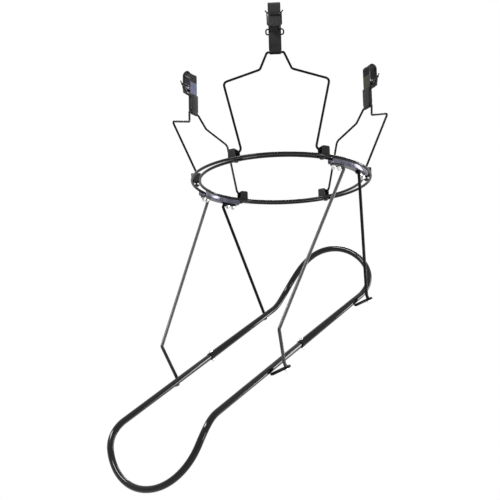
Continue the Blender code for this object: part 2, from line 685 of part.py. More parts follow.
def block_mesh():
    """Moulded block over both rods, with a mouth for the bracket's end and the keeper's head."""
    half = BLOCK_LENGTH / 2
    top = BLOCK_BASE_Z + BLOCK_HEIGHT
    outline = rounded_box_outline((-half, BLOCK_BASE_Z), (half, top), (0, 0, BLOCK_CORNER_R, BLOCK_CORNER_R))
    shell = prism(outline, -BLOCK_WIDTH / 2, BLOCK_WIDTH / 2, block_point)
    mouth_top = MOUTH_FLOOR_Z + MOUTH_HEIGHT
    mouth = rounded_box_outline((-half - CUT_OVERRUN, MOUTH_FLOOR_Z), (MOUTH_DEPTH - half, mouth_top),
                                (0, 0, BLOCK_CORNER_R, 0))
    cuts = [prism(mouth, -MOUTH_WIDTH / 2, MOUTH_WIDTH / 2, block_point)]
    reach = math.degrees((half + CUT_OVERRUN) / ROD_CIRCLE_R)
    for radius in (INNER_ROD_CIRCLE_R, OUTER_ROD_CIRCLE_R):
        groove = [circle_point(radius, BLOCK_STATION_DEG + reach * step / 3, -RING_DROP) for step in range(-3, 4)]
        cuts.append(wire(groove, ROD_R + RUN_GAP, 3))
    axis_start = Vector((BRACKET_FOOT_WIDTH / 2, -BRACKET_AXIS_CIRCLE_R, BRACKET_AXIS_Z))
    axis_end = Vector((BRACKET_END_WIDTH / 2 + SEAT_GAP, -BRACKET_AXIS_CIRCLE_R, BRACKET_AXIS_Z))
    cuts.append(cylinder(axis_start, axis_end, BRACKET_WIRE_R + RUN_GAP, 16))
    cuts.append(cylinder(block_point(-KEEPER_OFFSET, BLOCK_BASE_Z - CUT_OVERRUN),
                         block_point(-KEEPER_OFFSET, MOUTH_FLOOR_Z + CUT_OVERRUN), KEEPER_SHANK_R + PIN_GAP, 12))
    return combine(shell, cut=cuts)


def keeper_mesh():
    """Keeper bolt between the rods, with a wide washer and a nut below them."""
    seat_z = MOUTH_FLOOR_Z + SEAT_GAP
    washer_top = -RING_DROP - ROD_R - RUN_GAP
    washer_low = washer_top - KEEPER_WASHER_HEIGHT
    spot = block_point(-KEEPER_OFFSET, 0)
    down = -STRAIGHT_UP
    stem = bolt(spot + STRAIGHT_UP * (seat_z + KEEPER_HEAD_HEIGHT), down, seat_z - washer_low, KEEPER_SHANK_R,
                KEEPER_HEAD_R, KEEPER_HEAD_HEIGHT, KEEPER_NUT_HEIGHT, KEEPER_TIP, KEEPER_NUT_R, dome=True)
    washer = cylinder(spot + STRAIGHT_UP * washer_low, spot + STRAIGHT_UP * washer_top, KEEPER_WASHER_R, 20)
    return combine(stem, joined=(washer,))


# Ring

def half_rod_mesh(radius, start_deg):
    """Half of one of the ring's rods, ending a little short of the saddles' middles."""
    short = math.degrees(SEAT_GAP / radius)
    sweep = 180 - 2 * short
    points = [circle_point(radius, start_deg + short + sweep * step / ROD_STEPS, -RING_DROP)
              for step in range(ROD_STEPS + 1)]
    return wire(points, ROD_R)


def saddle_profile():
    """The channel's section as (distance from the ring's middle, height)."""
    outer = rounded_box_outline((-SADDLE_OUTER_HALF, SADDLE_BOTTOM_Z), (SADDLE_OUTER_HALF, SADDLE_TOP_Z),
                                (SADDLE_CORNER_R, SADDLE_CORNER_R, 0, 0))
    inner_r = SADDLE_CORNER_R - SADDLE_WALL
    inner = rounded_box_outline((-SADDLE_INNER_HALF, SADDLE_BOTTOM_Z + SADDLE_WALL), (SADDLE_INNER_HALF, SADDLE_TOP_Z),
                                (inner_r, inner_r, 0, 0))
    top_left_outer = outer.pop()
    top_left_inner = inner.pop()
    return [top_left_outer] + outer + inner[::-1] + [top_left_inner]


def saddle_mesh():
    """Curved channel at the +X side, with bolt holes in its floor."""
    profile = saddle_profile()
    build = bmesh.new()
    rims = []
    for step in range(SADDLE_STEPS + 1):
        degrees = 90 + SADDLE_HALF_SPAN_DEG * (2 * step / SADDLE_STEPS - 1)
        rims.append([build.verts.new(circle_point(ROD_CIRCLE_R + out, degrees, height)) for out, height in profile])
    for first, second in zip(rims, rims[1:]):
        join_rims(build, first, second)
    build.faces.new(rims[0])
    build.faces.new(rims[-1])
    shell = finish_mesh(build)
    holes = []
    for spot in tab_bolt_spots(FRONT_HANGER_TOP_DEG) + tab_bolt_spots(REAR_HANGER_TOP_DEG):
        low = spot + STRAIGHT_UP * (SADDLE_BOTTOM_Z - CUT_OVERRUN)
        high = spot + STRAIGHT_UP * (SADDLE_BOTTOM_Z + SADDLE_WALL + CUT_OVERRUN)
        holes.append(cylinder(low, high, BOLT_R + PIN_GAP, 12))
    return combine(shell, cut=holes)


def tab_frame(top_deg):
    """The inner end and direction of a hanger's top tab on the +X side, by the hanger's angle."""
    radius = ROD_CIRCLE_R + HANGER_TAB_OFFSET
    span = math.copysign(math.degrees(HANGER_TAB_LENGTH / radius), top_deg)
    start = circle_point(radius, 90 - top_deg, 0)
    end = circle_point(radius, 90 - top_deg - span, 0)
    return start, (end - start).normalized()


def tab_bolt_spots(top_deg):
    """The two bolt places on a hanger's top tab, level with zero height."""
    start, along = tab_frame(top_deg)
    return [start + along * (HANGER_TAB_LENGTH * share) for share in TAB_BOLT_SHARES]


def saddle_bolt_mesh(spot):
    """Bolt down through a saddle's floor and a hanger's tab, its head below the rods."""
    floor = SADDLE_BOTTOM_Z + SADDLE_WALL + SEAT_GAP
    grip = SADDLE_WALL + HANGER_TAB_THICKNESS + SEAT_GAP * 3
    return bolt(spot + STRAIGHT_UP * (floor + BOLT_HEAD_HEIGHT), -STRAIGHT_UP, grip, BOLT_R, BOLT_HEAD_R,
                BOLT_HEAD_HEIGHT, BOLT_NUT_HEIGHT, BOLT_TIP)


# Track

def folded(length):
    """Reach towards the exit and height of the track's middle line, by length along the flat loop."""
    slope = -TRACK_SLOPE
    middle = TRACK_FOLD_SPACING / 2
    rear = REAR_FOLD_R * math.radians(REAR_FOLD_DEG) / 2
    front = TRACK_FOLD_SPACING - FRONT_FOLD_R * math.radians(FRONT_FOLD_DEG) / 2

    def straight(place_along):
        step = place_along - middle
        return Vector((TRACK_MIDDLE_REACH + step * math.cos(slope), -TRACK_MIDDLE_DROP + step * math.sin(slope)))

    def arc_move(radius, distance):
        bend = slope - distance / radius
        return Vector((math.sin(slope) - math.sin(bend), math.cos(bend) - math.cos(slope))) * radius

    if length < rear:
        return straight(rear) - arc_move(REAR_FOLD_R, rear - length)
    if length <= front:
        return straight(length)
    bent = FRONT_FOLD_R * math.radians(FRONT_FOLD_DEG)
    on_arc = min(length - front, bent)
    tail = slope - on_arc / FRONT_FOLD_R
    return straight(front) + arc_move(FRONT_FOLD_R, on_arc) + Vector((math.cos(tail), math.sin(tail))) * (
        length - front - on_arc)


def track_point(across, length):
    """A point of the folded loop."""
    reach, height = folded(length)
    return Vector((across, -reach, height))


def length_at(reach):
    """Length along the flat loop where the straight rails have a given reach."""
    return TRACK_FOLD_SPACING / 2 + (reach - TRACK_MIDDLE_REACH) / math.cos(TRACK_SLOPE)


def loop_half(start_length, stops, end_length, corner_steps):
    """Points from the +X rail round one end of the loop and back along the -X rail."""
    half = TRACK_WIDTH / 2
    corner = half * TRACK_CORNER_SHARE
    side = math.copysign(1, end_length - start_length)
    right = [(half, length) for length in (start_length, *stops, end_length - side * corner)]
    for step in range(1, corner_steps + 1):
        angle = math.pi / 2 * step / corner_steps
        right.append((half - corner + corner * math.cos(angle), end_length - side * corner * (1 - math.sin(angle))))
    left = [(-across, length) for across, length in reversed(right)]
    return [track_point(across, length) for across, length in right + left]


def rear_tube_mesh():
    """Upper tube: up one rail, round the backstop and down the other, swaged out into two sockets."""
    joint = length_at(JOINT_REACH)
    swage = joint - SWAGE_LENGTH
    taper = joint - SWAGE_LENGTH * SWAGE_NECK_SHARE
    rear_bend = REAR_FOLD_R * math.radians(REAR_FOLD_DEG) / 2
    stops = [joint - SOCKET_LENGTH - SOCKET_OVERLAP_GAP, taper, swage, rear_bend, rear_bend * 2 / 3]
    points = loop_half(joint, stops, -REAR_LENGTH, 7)
    socket_bore = TRACK_TUBE_R + RUN_GAP
    plain_bore = TRACK_TUBE_R - TRACK_TUBE_WALL
    ends = [(SOCKET_R, socket_bore), (SOCKET_R, socket_bore), ((SOCKET_R + TRACK_TUBE_R) / 2, plain_bore)]
    middle = [(TRACK_TUBE_R, plain_bore)] * (len(points) - 2 * len(ends))
    sizes = ends + middle + ends[::-1]
    return hollow_tube(points, [size[0] for size in sizes], [size[1] for size in sizes], 12)


def front_tube_mesh():
    """Lower tube: its ends slide into the sockets, and it runs round the front end of the chute."""
    joint = length_at(JOINT_REACH)
    fold_half = FRONT_FOLD_R * math.radians(FRONT_FOLD_DEG) / 2
    stops = [TRACK_FOLD_SPACING - fold_half, TRACK_FOLD_SPACING - fold_half / 2]
    points = loop_half(joint - SOCKET_LENGTH, stops, TRACK_FOLD_SPACING + FRONT_LENGTH, 9)
    count = len(points)
    return hollow_tube(points, [TRACK_TUBE_R] * count, [TRACK_TUBE_R - TRACK_TUBE_WALL] * count, 12)


RAIL_DOWN = Vector((0, -math.cos(TRACK_SLOPE), -math.sin(TRACK_SLOPE)))
RAIL_NORMAL = Vector((0, -math.sin(TRACK_SLOPE), math.cos(TRACK_SLOPE)))
ACROSS = Vector((1, 0, 0))


def joint_bolt_ends():
    """Head top and underside of the bolt through a rail joint on the +X side."""
    spot = track_point(TRACK_WIDTH / 2, length_at(JOINT_REACH) - JOINT_BOLT_INSET)
    return spot + RAIL_NORMAL * SOCKET_R, spot - RAIL_NORMAL * SOCKET_R


def drilled(mesh, head, tail, radius):
    """Drill a rail on both sides of the track for its joint bolts."""
    over = (head - tail).normalized() * CUT_OVERRUN * 2
    drill = cylinder(head + over, tail - over, radius + PIN_GAP, 12)
    return combine(mesh, cut=(drill, mirrored(drill)))


def joint_bolt_mesh():
    """Bolt square to the rail, through the socket and the tube inside it."""
    head, tail = joint_bolt_ends()
    seat = head + RAIL_NORMAL * SEAT_GAP
    grip = (head - tail).length + SEAT_GAP * 2
    return bolt(seat + RAIL_NORMAL * JOINT_BOLT_HEAD_HEIGHT, -RAIL_NORMAL, grip, JOINT_BOLT_R, JOINT_BOLT_HEAD_R,
                JOINT_BOLT_HEAD_HEIGHT, JOINT_BOLT_NUT_HEIGHT, JOINT_BOLT_R)


# Feet and hangers

class Foot:
    """Where a hanger's lower end stands on its plate beside the +X rail."""

    def __init__(self, reach):
        rail = track_point(TRACK_WIDTH / 2, length_at(reach))
        turn = math.radians(PLATE_TURN_DEG)
        self.along = ACROSS * math.sin(turn) - RAIL_DOWN * math.cos(turn)
        self.aside = RAIL_NORMAL.cross(self.along)
        self.base = rail + ACROSS * FOOT_STAND_OUT - RAIL_NORMAL * (TRACK_TUBE_R + SEAT_GAP)

    def point(self, along, rise, aside=0):
        """A point by its distance along the plate from the hanger's middle and its rise above the plate."""
        return self.base + self.along * along + self.aside * aside + RAIL_NORMAL * rise


def slot_plate(foot, start, end, width, low, high):
    """A flat bar with round ends on a foot's own directions."""
    radius = width / 2
    outline = arc((end - radius, 0), radius, -90, 180, 6) + arc((start + radius, 0), radius, 90, 180, 6)
    return prism(outline, low, high, lambda along, aside, rise: foot.point(along, rise, aside))


def plate_mesh(foot):
    """Flat foot plate under the rail, drilled for the foot bolt."""
    plate = slot_plate(foot, PLATE_END - PLATE_LENGTH, PLATE_END, PLATE_WIDTH, -PLATE_THICKNESS, 0)
    drill = cylinder(foot.point(0, CUT_OVERRUN), foot.point(0, -PLATE_THICKNESS - CUT_OVERRUN),
                     FOOT_BOLT_R + PIN_GAP, 12)
    return combine(plate, cut=(drill,))


def foot_bolt_mesh(foot):
    """Bolt up through the plate into the hanger's end, its head below the plate."""
    under = -PLATE_THICKNESS - SEAT_GAP
    head = cylinder(foot.point(0, under - FOOT_BOLT_HEAD_HEIGHT), foot.point(0, under), FOOT_BOLT_HEAD_R, 6)
    shank = cylinder(foot.point(0, under - FOOT_BOLT_HEAD_HEIGHT / 2), foot.point(0, FOOT_BOLT_REACH), FOOT_BOLT_R, 8)
    return combine(head, joined=(shank,))


def hanger_mesh(foot, top_deg, kinks):
    """Rod between a saddle and a foot plate, with a flattened tab above and a drilled end below."""
    start, along = tab_frame(top_deg)
    tab_top = SADDLE_BOTTOM_Z - SEAT_GAP
    rod_z = tab_top - HANGER_R
    elbow = circle_point(HANGER_TOP_CIRCLE_R, 90 - top_deg, rod_z)
    inside = start + along * HANGER_HOOK + STRAIGHT_UP * rod_z
    corners = [inside, elbow, *kinks, foot.point(0, FOOT_STAND_RISE), foot.point(0, SEAT_GAP)]
    radii = [HANGER_BEND_R] * (2 + len(kinks))
    rod = wire(bent_path(corners, radii), HANGER_R)
    aside = STRAIGHT_UP.cross(along)

    def tab_place(distance, offset, height):
        return start + along * distance + aside * offset + STRAIGHT_UP * height

    radius = HANGER_TAB_WIDTH / 2
    outline = arc((HANGER_TAB_LENGTH - radius, 0), radius, -90, 180, 6) + [
        (HANGER_BEND_R * 2 / 3, radius), (0, HANGER_R), (0, -HANGER_R), (HANGER_BEND_R * 2 / 3, -radius)]
    top_tab = prism(outline, tab_top - HANGER_TAB_THICKNESS, tab_top, tab_place)
    drills = [cylinder(spot + STRAIGHT_UP * (tab_top + CUT_OVERRUN), spot + STRAIGHT_UP * (tab_top - HANGER_BEND_R),
                       BOLT_R + PIN_GAP, 12) for spot in tab_bolt_spots(top_deg)]
    drills.append(cylinder(foot.point(0, FOOT_BOLT_REACH + SEAT_GAP), foot.point(0, -CUT_OVERRUN),
                           FOOT_BOLT_R + PIN_GAP, 12))
    return combine(rod, joined=(top_tab,), cut=drills)


# Assembly

def build_stations():
    """The three clips with their brackets, blocks and keepers."""
    meshes = {
        "strap": strap_mesh(), "body": body_mesh(), "toggle": toggle_mesh(), "lever": lever_mesh(),
        "bail": bail_mesh(), "bracket": bracket_mesh(), "block": block_mesh(), "keeper": keeper_mesh(),
    }
    fold_centre = Vector((0, -BRACKET_AXIS_CIRCLE_R, BRACKET_AXIS_Z))
    for index in range(STATION_COUNT):
        number = index + 1
        station = make_empty(f"station_{number}", (0, 0, 0), None, FIRST_STATION_DEG + 360 * index / STATION_COUNT)
        for side, name in ((1, "right"), (-1, "left")):
            for kind, finish in (("block", "dark_plastic"), ("keeper", "black_bolt")):
                mesh = meshes[kind] if side > 0 else mirrored(meshes[kind])
                place(f"{kind}_{number}_{name}", mesh, finish, (0, 0, -RING_DROP), station)
        fold = place(f"wire_bracket_{number}", meshes["bracket"], "gloss_black", fold_centre, station)
        swing = make_empty(f"swing_{number}", BAR_CENTRE, fold)
        place(f"clip_body_{number}", meshes["body"], "dark_plastic", BAR_CENTRE, swing)
        place(f"hook_strap_{number}", meshes["strap"], "gloss_black", BAR_CENTRE, swing)
        place(f"toggle_wire_{number}", meshes["toggle"], "gloss_black", BAR_CENTRE, swing)
        lever = place(f"clamp_lever_{number}", meshes["lever"], "gloss_black", PIVOT_CENTRE, swing)
        place(f"tee_bail_{number}", meshes["bail"], "gloss_black", BAIL_CENTRE, lever)


def build_ring():
    """The ring's rods, saddles and saddle bolts, all turning about Z."""
    turn = make_empty("ring_turn", (0, 0, 0))
    for name, radius in (("outer", OUTER_ROD_CIRCLE_R), ("inner", INNER_ROD_CIRCLE_R)):
        place(f"{name}_rod_front", half_rod_mesh(radius, -90), "gloss_black", (0, 0, 0), turn)
        place(f"{name}_rod_rear", half_rod_mesh(radius, 90), "gloss_black", (0, 0, 0), turn)
    saddle = saddle_mesh()
    place("saddle_right", saddle, "bright_zinc", (0, 0, 0), turn)
    place("saddle_left", mirrored(saddle), "bright_zinc", (0, 0, 0), turn)
    for end, top_deg in (("front", FRONT_HANGER_TOP_DEG), ("rear", REAR_HANGER_TOP_DEG)):
        for index, spot in enumerate(tab_bolt_spots(top_deg)):
            mesh = saddle_bolt_mesh(spot)
            place(f"saddle_bolt_right_{end}_{index + 1}", mesh, "pale_zinc", (0, 0, 0), turn)
            place(f"saddle_bolt_left_{end}_{index + 1}", mirrored(mesh), "pale_zinc", (0, 0, 0), turn)
    return turn


def build_chute(turn):
    """The two track tubes, their joint bolts, the feet and the hangers."""
    head, tail = joint_bolt_ends()
    place("rear_tube", drilled(rear_tube_mesh(), head, tail, JOINT_BOLT_R), "gloss_black", (0, 0, 0), turn)
    place("front_tube", drilled(front_tube_mesh(), head, tail, JOINT_BOLT_R), "gloss_black", (0, 0, 0), turn)
    joint_bolt = joint_bolt_mesh()
    place("rail_joint_bolt_right", joint_bolt, "pale_zinc", (0, 0, 0), turn)
    place("rail_joint_bolt_left", mirrored(joint_bolt), "pale_zinc", (0, 0, 0), turn)
    front_kink = Vector((FRONT_KINK_OUT, -FRONT_KINK_REACH, -FRONT_KINK_DROP))
    for end, reach, top_deg, kinks in (("front", FRONT_FOOT_REACH, FRONT_HANGER_TOP_DEG, (front_kink,)),
                                       ("rear", REAR_FOOT_REACH, REAR_HANGER_TOP_DEG, ())):
        foot = Foot(reach)
        for kind, mesh, finish in (("hanger", hanger_mesh(foot, top_deg, kinks), "satin_grey"),
                                   ("foot_plate", plate_mesh(foot), "gloss_black"),
                                   ("foot_bolt", foot_bolt_mesh(foot), "pale_zinc")):
            place(f"{kind}_right_{end}", mesh, finish, (0, 0, 0), turn)
            place(f"{kind}_left_{end}", mirrored(mesh), finish, (0, 0, 0), turn)


def main():
    """Build the whole chute."""
    clear_scene()
    build_stations()
    build_chute(build_ring())


main()
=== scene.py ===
"""Finished look of a return chute of bent tube and wire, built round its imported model.

Each sub-assembly is a class that holds its sizes, in metres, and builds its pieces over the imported
solids with round edges, smooth bends, chamfers and threads.  A clip station is made as it would
stand at the -Y side and is then turned about Z to each of its three places.
"""

import logging
import math
from dataclasses import dataclass
from enum import Enum
from typing import Callable, Optional, Sequence, Union

import bmesh
import bpy
from mathutils import Matrix, Vector

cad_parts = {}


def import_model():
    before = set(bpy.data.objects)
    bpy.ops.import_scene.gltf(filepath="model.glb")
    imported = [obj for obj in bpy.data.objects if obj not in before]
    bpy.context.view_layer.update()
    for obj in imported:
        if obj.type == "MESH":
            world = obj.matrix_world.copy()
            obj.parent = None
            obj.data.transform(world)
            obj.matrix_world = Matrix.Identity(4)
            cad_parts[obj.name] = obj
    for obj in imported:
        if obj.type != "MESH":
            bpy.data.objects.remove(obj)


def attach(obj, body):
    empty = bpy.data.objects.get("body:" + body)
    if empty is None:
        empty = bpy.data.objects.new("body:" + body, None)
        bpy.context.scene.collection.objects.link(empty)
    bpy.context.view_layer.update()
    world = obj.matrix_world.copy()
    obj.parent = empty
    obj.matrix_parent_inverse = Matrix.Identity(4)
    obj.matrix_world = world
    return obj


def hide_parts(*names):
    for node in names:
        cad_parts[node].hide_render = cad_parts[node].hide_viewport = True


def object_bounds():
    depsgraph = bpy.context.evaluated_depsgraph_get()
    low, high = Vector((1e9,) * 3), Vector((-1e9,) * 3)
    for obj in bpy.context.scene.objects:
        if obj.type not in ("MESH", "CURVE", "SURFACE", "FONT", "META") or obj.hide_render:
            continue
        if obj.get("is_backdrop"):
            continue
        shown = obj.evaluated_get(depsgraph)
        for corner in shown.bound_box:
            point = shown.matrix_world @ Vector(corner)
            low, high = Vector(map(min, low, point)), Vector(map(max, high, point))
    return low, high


LOG = logging.getLogger("return_chute")
Mesh = bpy.types.Mesh
Outline = list[tuple[float, float]]
Colour = tuple[float, float, float]

UP = Vector((0.0, 0.0, 1.0))
ACROSS = Vector((1.0, 0.0, 0.0))
SEAT_GAP = 0.0003  # between pieces that touch
OVERRUN = 0.001  # by which a cutter stands out of what it cuts
MERGE = 1e-7
WELD = MERGE * 100
FLAT_DEG = 1
SHARP_DEG = 32
BEND_STEP_DEG = 6
ROUND_STEPS = 20
WIRE_SIDES = 24
SCREW_SIDES = 32
TURNED_SIDES = 48
PRESSED_EDGE = 0.0003
THICK_EDGE = 0.0004
CHUTE_BODY = "ring_and_chute"
BLOCKS_BODY = "guide_blocks"


# Node trees

class Signal:
    """An output socket that adds Math nodes when it is used in Python arithmetic."""

    def __init__(self, tree: bpy.types.NodeTree, socket: bpy.types.NodeSocket) -> None:
        """Keep the tree and the socket."""
        self.tree = tree
        self.socket = socket

    def math(self, operation: str, *values: "Number") -> "Signal":
        """Add one Math node.

        Args:
            operation: The node's operation.
            values: Its inputs in order, signals or numbers.
        Returns:
            The node's output.
        """
        node = NodeBench(self.tree).add("ShaderNodeMath", {"operation": operation},
                                        dict(enumerate(values)))
        return Signal(self.tree, node.outputs[0])

    def __add__(self, other: "Number") -> "Signal":
        """Add."""
        return self.math("ADD", self, other)

    def __sub__(self, other: "Number") -> "Signal":
        """Take away."""
        return self.math("SUBTRACT", self, other)

    def __rsub__(self, other: "Number") -> "Signal":
        """Take this from a number."""
        return self.math("SUBTRACT", other, self)

    def __mul__(self, other: "Number") -> "Signal":
        """Multiply."""
        return self.math("MULTIPLY", self, other)

    def __truediv__(self, other: "Number") -> "Signal":
        """Divide."""
        return self.math("DIVIDE", self, other)

    __radd__ = __add__
    __rmul__ = __mul__


Number = Union[Signal, float]


class NodeBench:
    """A node tree and the one method that adds nodes to it."""

    def __init__(self, tree: bpy.types.NodeTree) -> None:
        """Keep the tree that the nodes go into."""
        self.tree = tree

    def add(self, kind: str, settings: Optional[dict] = None,
            inputs: Optional[dict] = None) -> bpy.types.Node:
        """Add a node, with its settings first and then its sockets.

        Args:
            kind: The node's type.
            settings: Its settings by name.
            inputs: Its sockets' values or links, by name or number.
        Returns:
            The new node.
        """
        node = self.tree.nodes.new(kind)
        for name, value in (settings or {}).items():
            setattr(node, name, value)
        for key, value in (inputs or {}).items():
            self.feed(node.inputs[key], value)
        return node

    def feed(self, socket: bpy.types.NodeSocket, value: object) -> None:
        """Link a signal or a socket to an input, or set the input's own value.

        Args:
            socket: The input.
            value: A signal, an output socket or a plain value.
        """
        if isinstance(value, Signal):
            value = value.socket
        if isinstance(value, bpy.types.NodeSocket):
            self.tree.links.new(value, socket)
        else:
            socket.default_value = value

    def signal(self, kind: str, output: Union[str, int], settings: Optional[dict] = None,
               inputs: Optional[dict] = None) -> Signal:
        """Add a node and keep one of its outputs.

        Args:
            kind: The node's type.
            output: The output's name or number.
            settings: Its settings by name.
            inputs: Its sockets' values or links.
        Returns:
            The output as a signal.
        """
        return Signal(self.tree, self.add(kind, settings, inputs).outputs[output])


@dataclass(frozen=True)
class Pattern:
    """A noise that is stepped into spots.

    Its size is in metres, its detail in octaves, and the step runs from low to high.  The spots
    cover a share of the colour below them and add haze to its roughness.
    """

    size: float
    detail: float
    low: float
    high: float
    cover: float = 1.0
    haze: float = 0.0


class MaterialBench(NodeBench):
    """A material's node tree, which ends in one Principled shader."""

    def __init__(self, label: str) -> None:
        """Start a material with its shader and its object coordinates.

        Args:
            label: The material's name.
        """
        self.material = bpy.data.materials.new(label)
        self.material.use_nodes = True
        super().__init__(self.material.node_tree)
        self.shader = self.tree.nodes["Principled BSDF"]
        self.place = self.signal("ShaderNodeTexCoord", "Object")

    def noise(self, size: float, detail: float = 2.0, stretch: Colour = (1, 1, 1)) -> Signal:
        """A noise pattern from 0 to 1.

        Args:
            size: The size of its spots in metres.
            detail: Its octaves.
            stretch: How much longer the spots are along X, Y and Z.
        Returns:
            The pattern.
        """
        scale = [1 / (size * share) for share in stretch]
        spot = self.signal("ShaderNodeMapping", 0, None, {"Vector": self.place, "Scale": scale})
        return self.signal("ShaderNodeTexNoise", 0, None,
                           {"Vector": spot, "Scale": 1.0, "Detail": detail})

    def band(self, value: Signal, low: float, high: float) -> Signal:
        """A smooth step of a value.

        Args:
            value: What is stepped.
            low: Where the step is 0.
            high: Where the step is 1.
        Returns:
            The step, from 0 to 1.
        """
        return self.signal("ShaderNodeMapRange", 0, {"interpolation_type": "SMOOTHSTEP"},
                           {"Value": value, "From Min": low, "From Max": high})

    def spots(self, pattern: Pattern) -> Signal:
        """A pattern's spots, from 0 to 1."""
        return self.band(self.noise(pattern.size, pattern.detail), pattern.low, pattern.high)

    def above(self, low: float, high: float) -> Signal:
        """A smooth step from 0 to 1 between two heights."""
        height = self.signal("ShaderNodeSeparateXYZ", "Z", None, {0: self.place})
        return self.band(height, low, high)

    def blend(self, factor: Signal, first: object, second: object) -> Signal:
        """Mix two colours.

        Args:
            factor: The second colour's share.
            first: A colour or a signal.
            second: A colour or a signal.
        Returns:
            The mixed colour.
        """
        colours = [(*tint, 1) if isinstance(tint, tuple) else tint for tint in (first, second)]
        return self.signal("ShaderNodeMix", 2, {"data_type": "RGBA"},
                           {0: factor, 6: colours[0], 7: colours[1]})

    def bump(self, height: Signal, depth: float) -> Signal:
        """A bumped normal.

        Args:
            height: The height pattern, from 0 to 1.
            depth: The height of 1 in metres.
        Returns:
            The normal.
        """
        return self.signal("ShaderNodeBump", 0, None,
                           {"Height": height, "Distance": depth, "Strength": 1.0})

    def edges(self, low: float = 0.53, high: float = 0.6) -> Signal:
        """How far a spot lies on an outer edge, from 0 to 1."""
        return self.band(self.signal("ShaderNodeNewGeometry", "Pointiness"), low, high)

    def dress(self, **sockets: object) -> bpy.types.Material:
        """Feed the shader's sockets, named with _ for a space, and give the material.

        Args:
            sockets: The sockets' values or links.
        Returns:
            The material.
        """
        for name, value in sockets.items():
            self.feed(self.shader.inputs[name.replace("_", " ")], value)
        return self.material


# Finishes

@dataclass(frozen=True)
class Coat:
    """A baked coat on steel, with orange peel, a film of dust and bare steel rubbed through on its
    edges, turned up on the lever as a painted highlight.
    """

    label: str
    slot: str
    colour: Colour
    dust: Colour
    roughness: float
    sheen: float = 0.25
    peel_size: float = 0.0018
    peel_depth: float = 0.000012
    wear_and_highlight: float = 0.05
    film: Pattern = Pattern(0.045, 4, 0.42, 0.72, 0.5, 0.05)
    specks: Pattern = Pattern(0.0012, 1, 0.66, 0.74, 0.4, 0.12)
    scuffs: Pattern = Pattern(0.004, 3, 0.45, 0.6)
    steel: Colour = (0.30, 0.30, 0.31)
    steel_metal: float = 0.8

    def tint(self, bench: MaterialBench) -> Union[Colour, Signal]:
        """The coat's own colour under its dust."""
        return self.colour

    def make(self) -> bpy.types.Material:
        """Build the coat's material.

        Returns:
            The material.
        """
        bench = MaterialBench(self.label)
        film = bench.spots(self.film)
        specks = bench.spots(self.specks)
        # bare steel on the edges: real rubbing, and on the lever also a painted highlight
        worn_and_lit_edges = bench.edges() * bench.spots(self.scuffs) * self.wear_and_highlight
        dusty = film * self.film.cover + specks * self.specks.cover
        colour = bench.blend(dusty, self.tint(bench), self.dust)
        return bench.dress(
            Base_Color=bench.blend(worn_and_lit_edges, colour, self.steel),
            Roughness=film * self.film.haze + specks * self.specks.haze + self.roughness,
            Metallic=worn_and_lit_edges * self.steel_metal,
            Normal=bench.bump(bench.noise(self.peel_size), self.peel_depth),
            Specular_IOR_Level=self.sheen)


@dataclass(frozen=True)
class SheenPaintedCoat(Coat):
    """A black coat with a painted grey sheen above a height, standing in for the reflection on the
    upper part; below it the coat stays black.
    """

    coat_black: Colour = (0.010, 0.010, 0.011)
    sheen_low: float = -0.660
    sheen_high: float = -0.630

    def tint(self, bench: MaterialBench) -> Union[Colour, Signal]:
        """The colour: black below, with a painted grey sheen above a height."""
        return bench.blend(bench.above(self.sheen_low, self.sheen_high), self.coat_black, self.colour)


@dataclass(frozen=True)
class Plating:
    """Zinc plate with a passivated tint that drifts, fine draw lines and duller patches."""

    label: str
    slot: str
    colour: Colour
    drift: Colour
    roughness: float
    patches: Pattern = Pattern(0.012, 3, 0.38, 0.66, haze=0.10)
    line_size: float = 0.0005
    line_stretch: Colour = (1, 1, 12)
    line_haze: float = 0.08
    line_share: float = 0.6
    grain_size: float = 0.0009
    relief_depth: float = 0.000008
    edge_share: float = 0.5
    edge_lift: float = 1.4

    def tint(self, bench: MaterialBench, patch: Signal) -> Signal:
        """The plate's colour, which drifts from patch to patch."""
        return bench.blend(patch, self.colour, self.drift)

    def make(self) -> bpy.types.Material:
        """Build the plating's material.

        Returns:
            The material.
        """
        bench = MaterialBench(self.label)
        patch = bench.spots(self.patches)
        lines = bench.noise(self.line_size, stretch=self.line_stretch)
        relief = lines * self.line_share + bench.noise(self.grain_size) * (1 - self.line_share)
        pale = tuple(min(1.0, part * self.edge_lift) for part in self.colour)
        return bench.dress(
            Base_Color=bench.blend(bench.edges() * self.edge_share, self.tint(bench, patch), pale),
            Roughness=patch * self.patches.haze + lines * self.line_haze + self.roughness,
            Metallic=1.0,
            Normal=bench.bump(relief, self.relief_depth))


@dataclass(frozen=True)
class Lining(Plating):
    """A strap's plated inner face, with painted shade where the strap starts to bend over the tube.
    """

    edge_share: float = 0.0
    # painted shade: near black that the plating turns to above a height, where the bend over the
    # tube is in shade
    bend: Colour = (0.0016, 0.0014, 0.0022)
    painted_shade_low: float = -0.0175
    painted_shade_high: float = -0.0155

    def tint(self, bench: MaterialBench, patch: Signal) -> Signal:
        """The plate's colour, with painted shade above the leg."""
        bend = bench.above(self.painted_shade_low, self.painted_shade_high)
        return bench.blend(bend, super().tint(bench, patch), self.bend)


